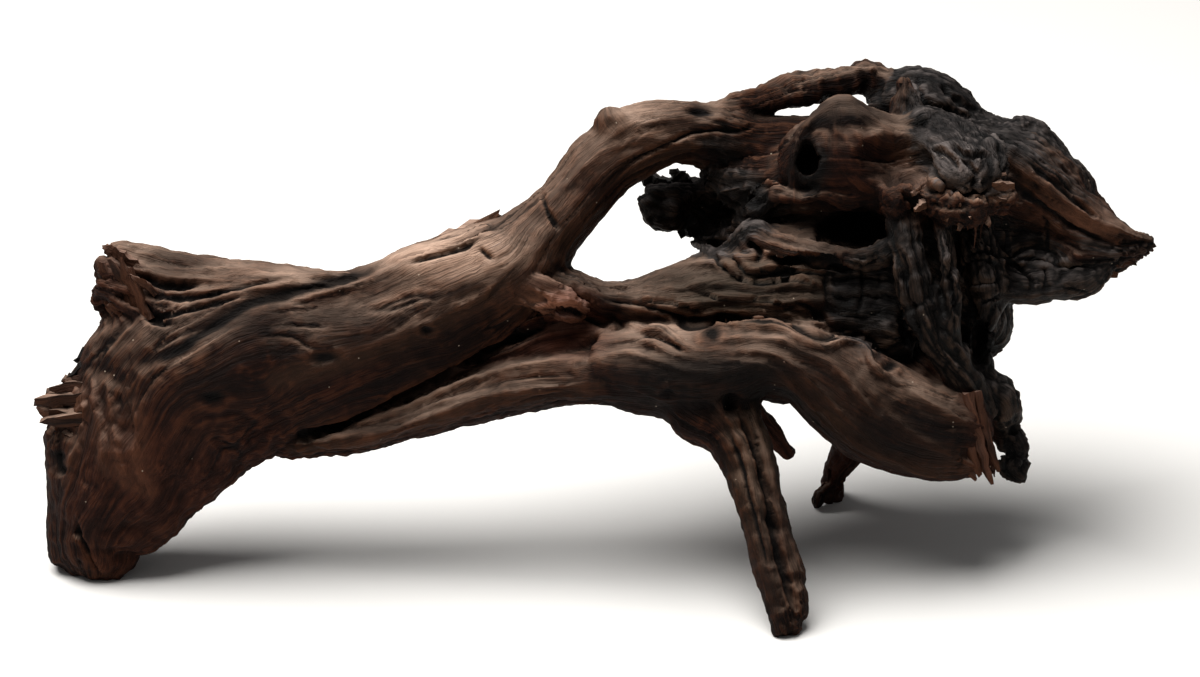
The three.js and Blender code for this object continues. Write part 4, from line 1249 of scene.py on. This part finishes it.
# %% Colours and sizes of the finish
# "root" and "torn" are the dark and the light fibre of torn wood, "fresh" is torn wood that is pale too, and
# the colours under it are multiplied by the painted shade colour wherever the wood doesn't face up
COLOURS = {
    "furrow": "#190b05", "wood": "#351b0f", "grey_wood": "#38251b", "ridge": "#644330", "bleached": "#c8a995",
    "char": "#0a0808", "char_wear_and_highlight": "#756c69", "torn": "#7a5347", "fresh": "#b58c7e", "root": "#351a0e",
    "underside_shade": "#b0957f", "moss": "#2b2a1f", "crack_and_shade_black": "#040303", "sand": "#b9a894",
}
STREAK = (80, 2.2, 2.2)  # fine fibres, drawn a little coarser than real so that they show
THREAD = (40, 0.8, 0.8)
BAND = (110, 6, 6)
SPECK_SPACING = 5.0
DRY_SHINE = 0.12  # open, dry fibre hardly shines
ROUGHNESS = (0.82, 0.6)  # of bare fibre, and of char, which shines faintly
BLOTCH = (0.045, 0.045, 0.045)  # metres
SPECKLE = (0.0016, 0.0016, 0.0016)
FIBRE_BUMP = 2.0  # height of the fine fibres in the bump, in mm, and how much more where furrows are deep
FURROW_BUMP = 2.2
SPECKLE_BUMP = 0.25


def linear(code):
    """An sRGB hex colour as the linear values that a shader takes."""
    parts = [int(code[i:i + 2], 16) / 255 for i in (1, 3, 5)]
    return tuple(p / 12.92 if p <= 0.04045 else ((p + 0.055) / 1.055) ** 2.4 for p in parts) + (1.0,)


def blend(tree, amount, under, over, way="MIX"):
    """Mix of two colours, each a hex code or a socket."""
    under, over = (linear(c) if isinstance(c, str) else c for c in (under, over))
    node = add(tree, "ShaderNodeMix", {0: amount, 6: under, 7: over}, data_type="RGBA", blend_type=way)
    return node.outputs[2]


def wood_values(tree, grain):
    """Tone of the fibre, hair cracks, block edges and fine height, for one grain."""
    grain = wander(tree, grain)
    streak = noise(tree, grain, STREAK, 4.0, 0.65).outputs[0]
    band = noise(tree, grain, BAND, 3.0).outputs[0]
    thread = noise(tree, grain, THREAD, 2.0, 0.6).outputs[0]
    streak = plus(tree, times(tree, streak, 0.6), times(tree, thread, 0.4))
    tone = plus(tree, times(tree, streak, 0.6), times(tree, band, 0.4))
    crack = splits(tree, grain)
    block = span(tree, checks(tree, grain)[0], 0.0, 0.06)
    return tone, crack, block, streak


def wood_material():
    material = bpy.data.materials.new("weathered_root_wood")
    material.use_nodes = True
    tree = material.node_tree
    shader = tree.nodes["Principled BSDF"]

    def stored(name):
        return add(tree, "ShaderNodeAttribute", attribute_name=name)

    def parts(name):
        return add(tree, "ShaderNodeSeparateXYZ", {0: stored(name).outputs["Vector"]}).outputs

    share = stored("share").outputs["Fac"]
    both = zip(wood_values(tree, stored("grain_two").outputs["Vector"]),
               wood_values(tree, stored("grain_one").outputs["Vector"]))
    tone, crack, block, streak = [mix(tree, share, two, one) for two, one in both]
    furrow, char, red = parts("wear")
    pale, green, shade_and_stain = parts("bleach_moss_and_shade")
    fine, broad, groove = parts("hollow")
    place = add(tree, "ShaderNodeTexCoord").outputs["Object"]
    blotch = noise(tree, place, BLOTCH, 1.0).outputs[0]
    speckle = noise(tree, place, SPECKLE, 2.0).outputs[0]
    up = part(tree, add(tree, "ShaderNodeNewGeometry").outputs["Normal"], 2)

    # Fibre, from furrow to ridge, and the ridges that sun and rubbing have bleached. Wood that faces up is
    # painted paler too: partly sun bleach, partly painted light from above
    ridge = span(tree, plus(tree, tone, times(tree, fine, -0.14)), 0.44, 0.57)
    brown = blend(tree, span(tree, blotch, 0.4, 0.62), COLOURS["wood"], COLOURS["grey_wood"])
    colour = blend(tree, ridge, COLOURS["furrow"], brown)
    high = span(tree, minus(tree, tone, times(tree, fine, 0.2)), 0.52, 0.72)
    colour = blend(tree, high, colour, COLOURS["ridge"])
    top_light_and_bleach = times(tree, span(tree, up, 0.45, 1.0), span(tree, blotch, 0.3, 0.62))
    # worn: rubbing and sun bleach together with the painted light on wood that faces up
    worn = plus(tree, times(tree, top_light_and_bleach, 0.6), times(tree, pale, 0.6), clamp=True)
    worn = times(tree, worn, span(tree, tone, 0.34, 0.62, 0.4, 1.0))
    colour = blend(tree, worn, colour, COLOURS["bleached"])
    colour = blend(tree, times(tree, green, 0.6), colour, COLOURS["moss"])

    # Torn and fresh wood, redder where the fibre is light
    torn = blend(tree, span(tree, tone, 0.4, 0.65), COLOURS["root"], COLOURS["torn"])
    colour = blend(tree, times(tree, red, 0.85), colour, torn)
    colour = blend(tree, times(tree, red, pale), colour, COLOURS["fresh"])

    # Burnt wood, black with grey worn edges; char that faces up is painted grey too, a painted highlight of
    # the light from above
    rim = times(tree, span(tree, fine, 0.1, -0.6), span(tree, tone, 0.4, 0.6))
    # top: painted highlight on char that faces up
    top = times(tree, span(tree, up, 0.45, 1.0), span(tree, tone, 0.47, 0.62, 0.0, 0.45))
    edge = larger(tree, larger(tree, rim, top), times(tree, pale, span(tree, tone, 0.36, 0.6)))
    burnt = blend(tree, edge, COLOURS["char"], COLOURS["char_wear_and_highlight"])
    uneven = plus(tree, minus(tree, blotch, 0.5), times(tree, minus(tree, tone, 0.5), 2.6))
    burn = span(tree, plus(tree, times(tree, char, 1.1), uneven), 0.38, 0.62)
    colour = blend(tree, burn, colour, burnt)

    # Painted shade darkens all that doesn't face up, and dirt and painted shade fill every hollow
    colour = blend(tree, span(tree, up, 0.95, 0.3), colour, COLOURS["underside_shade"], "MULTIPLY")
    between_blocks = times(tree, minus(tree, 1.0, block), times(tree, char, 0.9))
    lines = larger(tree, times(tree, crack, 0.8), between_blocks)
    # deep: painted shade in hollows, grooves, lip steps and the black patches, besides the dark of cracks and
    # block joints
    deep = larger(tree, span(tree, fine, 0.15, 1.0), span(tree, broad, 0.4, 4.0))
    deep = larger(tree, deep, span(tree, groove, 0.1, 0.7))
    deep = larger(tree, larger(tree, deep, lines), shade_and_stain)
    colour = blend(tree, times(tree, deep, 0.94), colour, COLOURS["crack_and_shade_black"])

    # Grains of sand that stuck to it
    grains = cells(tree, place, 1000 / SPECK_SPACING)
    dot = span(tree, grains["Distance"], 0.1, 0.06)
    few = span(tree, part(tree, grains["Color"]), 0.9, 0.93)
    sand = times(tree, dot, few)
    colour = blend(tree, times(tree, sand, 0.6), colour, COLOURS["sand"])
    tree.links.new(colour, shader.inputs["Base Color"])

    rough = span(tree, burn, 0.0, 1.0, *ROUGHNESS)
    tree.links.new(rough, shader.inputs["Roughness"])
    shader.inputs["Specular IOR Level"].default_value = DRY_SHINE

    height = times(tree, minus(tree, streak, 0.5), plus(tree, FIBRE_BUMP, times(tree, furrow, FURROW_BUMP)))
    height = plus(tree, height, times(tree, speckle, SPECKLE_BUMP))
    bump = add(tree, "ShaderNodeBump", {"Height": height, "Distance": MM, "Strength": 1.0})
    tree.links.new(bump.outputs[0], shader.inputs["Normal"])
    return material


wood = wood_material()
mesh.materials.clear()
mesh.materials.append(wood)
activate(body)
bpy.ops.object.shade_smooth()
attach(body, "root")
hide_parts("driftwood")
print("finish:", wood.name, "with", len(wood.node_tree.nodes), "nodes")

# %% [markdown]
# ## Splinters and torn fibres
#
# Where the wood broke, it tore into blades and hairs along the grain. One blade is modelled from a cube: cut
# across in edit mode, then tapered to a ragged tip. Every splinter is a copy of it with its own mesh,
# stretched between two places in the drawing, with its foot sunk in the wood. A hair system would be
# quicker, but hair isn't a mesh, and a splinter has flat faces.

# %% One blade
BLADE_CUTS = 9
BLADE_TAPER = (1.0, 1.0, 0.95, 0.9, 0.8, 0.62, 0.34)


def blade_model():
    select_none()
    bpy.ops.mesh.primitive_cube_add(size=1)
    blade = bpy.context.object
    cut_across(blade, 0, BLADE_CUTS)
    shape = points_of(blade)
    run = shape[:, 0] + 0.5
    taper = np.interp(run, np.linspace(0, 1, len(BLADE_TAPER)), BLADE_TAPER)
    shape[:, 1:] *= taper[:, None]
    shape[:, 0] = run
    set_points(blade, shape)
    return blade


# %% Splinters: foot and tip in the drawing (across, up, depth), width, thickness
SPLINTERS = {
    "torn_shards": dict(red=0.4, pale=0.3, char=0.0, blades=[
        ((-236, 158, 50), (-249, 187, 44), 6, 4), ((-232, 158, 46), (-245, 188, 40), 5, 4),
        ((-228, 162, 42), (-240, 189, 38), 6, 4), ((-226, 158, 40), (-235, 184, 36), 5, 3.5),
        ((-240, 158, 50), (-251, 178, 48), 5, 4), ((-222, 171, 40), (-236, 181, 34), 3.5, 3),
        ((-238, 186, 52), (-248, 196, 50), 7, 5), ((-228, 184, 50), (-243, 194, 46), 6, 5),
        ((-236, 158, 46), (-246, 166, 42), 4, 3), ((-238, 164, 58), (-250, 170, 60), 6, 5),
        ((-236, 176, 66), (-249, 184, 68), 6, 5), ((-232, 184, 66), (-246, 190, 68), 6, 5),
    ]),
    "end_splinters": dict(red=0.15, pale=0.15, char=0.0, blades=[
        ((-236, 126, 50), (-266, 129, 55), 8, 8), ((-234, 122, 46), (-274, 124, 54), 8, 9),
        ((-234, 117.5, 44), (-283, 117, 52), 8, 9), ((-234, 113, 43), (-275, 112, 50), 8, 9),
        ((-236, 108.5, 43), (-279, 107, 50), 8, 9), ((-238, 104, 45), (-268, 101, 51), 8, 9),
        ((-240, 119, 58), (-276, 121, 62), 12, 10), ((-240, 109, 60), (-275, 105, 64), 12, 11),
        ((-240, 114, 68), (-272, 114, 72), 12, 11), ((-238, 124, 62), (-268, 128, 66), 9, 8),
    ]),
    "dark_tongue": dict(red=0.0, pale=0.0, char=0.8, blades=[
        ((-240, 143, 54), (-266, 129, 56), 9, 5), ((-242, 147, 56), (-262, 137, 60), 8, 5),
    ]),
    "tail_shards": dict(red=0.5, pale=0.35, char=0.0, blades=[
        ((184, 122, 33), (196, 76, 34), 5, 3.5), ((188, 122, 34), (199, 82, 38), 4, 3.5),
        ((180, 112, 30), (190, 80, 34), 4.5, 3), ((184, 100, 34), (193, 80, 38), 4, 3),
        ((176, 96, 34), (188, 78, 40), 4, 3),
    ]),
    "stub_shards": dict(red=0.15, pale=0.6, char=0.0, blades=[
        ((184, 222, 30), (207, 225.5, 27), 6, 4), ((182, 217, 29), (203, 218, 26), 4, 4),
        ((179, 217, 32), (186, 209, 18), 5, 4), ((171, 218, 32), (174, 208, 20), 5, 4),
        ((167, 220, 32), (158, 213, 23), 5, 4), ((190, 215, 32), (195, 205, 24), 4, 4),
        ((182, 213, 32), (179, 203, 22), 4, 3), ((188, 227, 31), (203, 231, 29), 4, 4),
        ((164, 226, 34), (156, 221, 26), 4, 3), ((176, 221, 32), (180, 215, 19), 4, 3),
    ]),
    "stub_fibres": dict(red=0.5, pale=0.3, char=0.0, blades=[
        ((189, 214, 26), (187, 194, 26), 0.8, 0.7), ((192, 212, 28), (190, 198, 28), 0.8, 0.7),
        ((186, 212, 26), (188, 200, 25), 0.7, 0.6), ((183, 212, 25), (184, 203, 24), 0.7, 0.6),
    ]),
    "top_flake": dict(red=0.1, pale=0.9, char=0.0, blades=[
        ((-98, 187, 58), (-50.5, 211.5, 56), 11, 12),
    ]),
    "beak_splinters": dict(red=0.2, pale=0.4, char=0.0, blades=[
        ((248, 197, 68), (275, 194, 71), 8, 7), ((244, 190, 66), (268, 187, 70), 7, 6),
        ((240, 185, 66), (258, 180, 70), 7, 6), ((228, 180, 66), (246, 173, 70), 6, 6),
    ]),
    "root_splinters": dict(red=0.6, pale=0.0, char=0.0, blades=[
        ((118, 92, 142), (115, 72, 146), 5, 4), ((124, 96, 136), (134, 86, 134), 2, 2),
        ((122, 84, 146), (118, 70, 150), 4, 4), ((113, 76, 146), (107, 66, 143), 4, 3),
    ]),
    "claw_teeth": dict(red=0.0, pale=0.0, char=0.8, blades=[
        ((34, 223, 107), (21, 229.5, 106), 9, 8), ((34, 219, 104), (19, 218, 104), 9, 8),
        ((38, 213, 104), (26.5, 210.5, 104), 9, 8), ((42, 210, 104), (29, 204, 104), 8, 7),
        ((50, 208, 106), (40, 201.5, 106), 9, 8), ((60, 206, 108), (49, 199, 108), 9, 8),
        ((64, 202, 108), (52, 192.5, 108), 8, 7), ((70, 198, 108), (59, 189, 108), 8, 7),
        ((44, 222, 106), (36, 233, 106), 8, 7), ((56, 226, 108), (52, 236, 108), 9, 7),
    ]),
}
JITTER = 0.15  # of a splinter's width
ROLL = 0.7  # most that a splinter is turned about its length, in radians
SHARD_SHIFT = 61.0  # moves each splinter to a place of its own in the pattern
SHARP_EDGE = math.radians(40)


def splinter(blade, number, foot, tip, width, thickness, spread):
    """A copy of the blade between two drawn places, a little bent, as a new object."""
    copy = blade.copy()
    copy.data = blade.data.copy()
    bpy.context.scene.collection.objects.link(copy)
    start, end = (from_drawing([(p[0], p[2], p[1])])[0] / MM for p in (foot, tip))
    along = (end - start) / np.linalg.norm(end - start)
    side = np.cross(along, [0.0, 1.0, 0.0])
    side /= np.linalg.norm(side)
    roll = spread.uniform(-ROLL, ROLL)
    side = side * math.cos(roll) + np.cross(along, side) * math.sin(roll)
    back = np.cross(side, along)
    shape = points_of(blade)
    run = shape[:, :1]
    bend = spread.uniform(-1, 1) * run * (1 - run) * width
    placed = start + (end - start) * run + side * (shape[:, 1:2] * width + bend)
    placed = placed + back * (shape[:, 2:3] * thickness)
    placed += np.array([[spread.uniform(-1, 1) for _ in range(3)] for _ in shape]) * JITTER * width
    set_points(copy, placed * MM)
    length = np.linalg.norm(end - start)
    grain = [run[:, 0] * length + SHARD_SHIFT * number, shape[:, 1] * width, shape[:, 2] * thickness]
    return copy, np.stack(grain, axis=1)


def torn_piece(name, number, cluster, blade):
    spread = random.Random(number + 1)
    parts = []
    for foot, tip, width, thickness in cluster["blades"]:
        shard, grain = splinter(blade, len(parts), foot, tip, width, thickness, spread)
        parts.append(shard)
        write_attribute(shard.data, "grain_one", grain)
        write_attribute(shard.data, "grain_two", grain)
    piece = join(parts, name)
    bpy.ops.object.mode_set(mode="EDIT")
    bpy.ops.mesh.select_all(action="SELECT")
    bpy.ops.mesh.normals_make_consistent(inside=False)
    bpy.ops.object.mode_set(mode="OBJECT")
    count = len(piece.data.vertices)
    write_attribute(piece.data, "share", np.ones(count))
    for key, row in (("wear", (1, cluster["char"], cluster["red"])), ("bleach_moss_and_shade", (cluster["pale"], 0, 0)),
                     ("hollow", (0, 0, 0))):
        write_attribute(piece.data, key, np.tile(np.array(row, float), (count, 1)))
    low = points_of(piece)
    low[:, 2] = np.maximum(low[:, 2], 0)
    set_points(piece, low)
    piece.data.materials.clear()
    piece.data.materials.append(wood)
    bpy.ops.object.shade_smooth_by_angle(angle=SHARP_EDGE)
    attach(piece, "root")
    return piece


blade = blade_model()
torn = [torn_piece(name, number, cluster, blade) for number, (name, cluster) in enumerate(SPLINTERS.items())]
bpy.data.objects.remove(blade)
print("torn pieces:", [piece.name for piece in torn])

# %% [markdown]
# ## Floor, light and camera
#
# The photograph looks down at about 22 degrees with a long lens, in soft light from above. The floor is
# plain and pale, and one broad lamp stands for the window overhead.

# %% Floor and lights
FLOOR_SIZE = 14.0
FLOOR_COLOUR = "#f1f0ee"
FLOOR_ROUGHNESS = 0.9
LAMP_PLACE = (-0.6, 0.1, 2.0)
LAMP_SIZE = 2.2
LAMP_WATTS = 84
LAMP_COLOUR = "#fffdfa"
SKY_STRENGTH = 0.13
bpy.ops.mesh.primitive_plane_add(size=FLOOR_SIZE, location=(0, 0, 0))
floor = bpy.context.object
floor.name = "floor"
paint = bpy.data.materials.new("matt_white_board")
paint.use_nodes = True
board = paint.node_tree.nodes["Principled BSDF"]
board.inputs["Base Color"].default_value = linear(FLOOR_COLOUR)
board.inputs["Roughness"].default_value = FLOOR_ROUGHNESS
floor.data.materials.append(paint)


def lamp(name, place, size, watts, colour):
    light = bpy.data.lights.new(name, "AREA")
    light.shape = "DISK"
    light.size = size
    light.energy = watts
    light.color = linear(colour)[:3]
    holder = bpy.data.objects.new(name, light)
    bpy.context.scene.collection.objects.link(holder)
    holder.location = place
    towards = -np.array(place)
    pitch = math.atan2(math.hypot(towards[0], towards[1]), -towards[2])
    turn = math.atan2(towards[1], towards[0]) - math.pi / 2
    holder.rotation_euler = (pitch, 0, turn)


lamp("window_above", LAMP_PLACE, LAMP_SIZE, LAMP_WATTS, LAMP_COLOUR)
world = bpy.data.worlds.new("plain_white")
world.use_nodes = True
sky = world.node_tree.nodes["Background"]
sky.inputs["Color"].default_value = linear("#ffffff")
sky.inputs["Strength"].default_value = SKY_STRENGTH
bpy.context.scene.world = world
bpy.context.scene.view_settings.view_transform = "Standard"

# %% Camera
LENS = 135.0
SENSOR = 36.0
camera_data = bpy.data.cameras.new("camera")
camera_data.lens = LENS
camera_data.sensor_width = SENSOR
camera_data.clip_end = 30.0
camera = bpy.data.objects.new("camera", camera_data)
bpy.context.scene.collection.objects.link(camera)
camera.location = EYE
camera.rotation_euler = (math.pi / 2 - EYE_TILT, 0, 0)
bpy.context.scene.camera = camera
print("camera at", [round(float(c), 4) for c in camera.location])
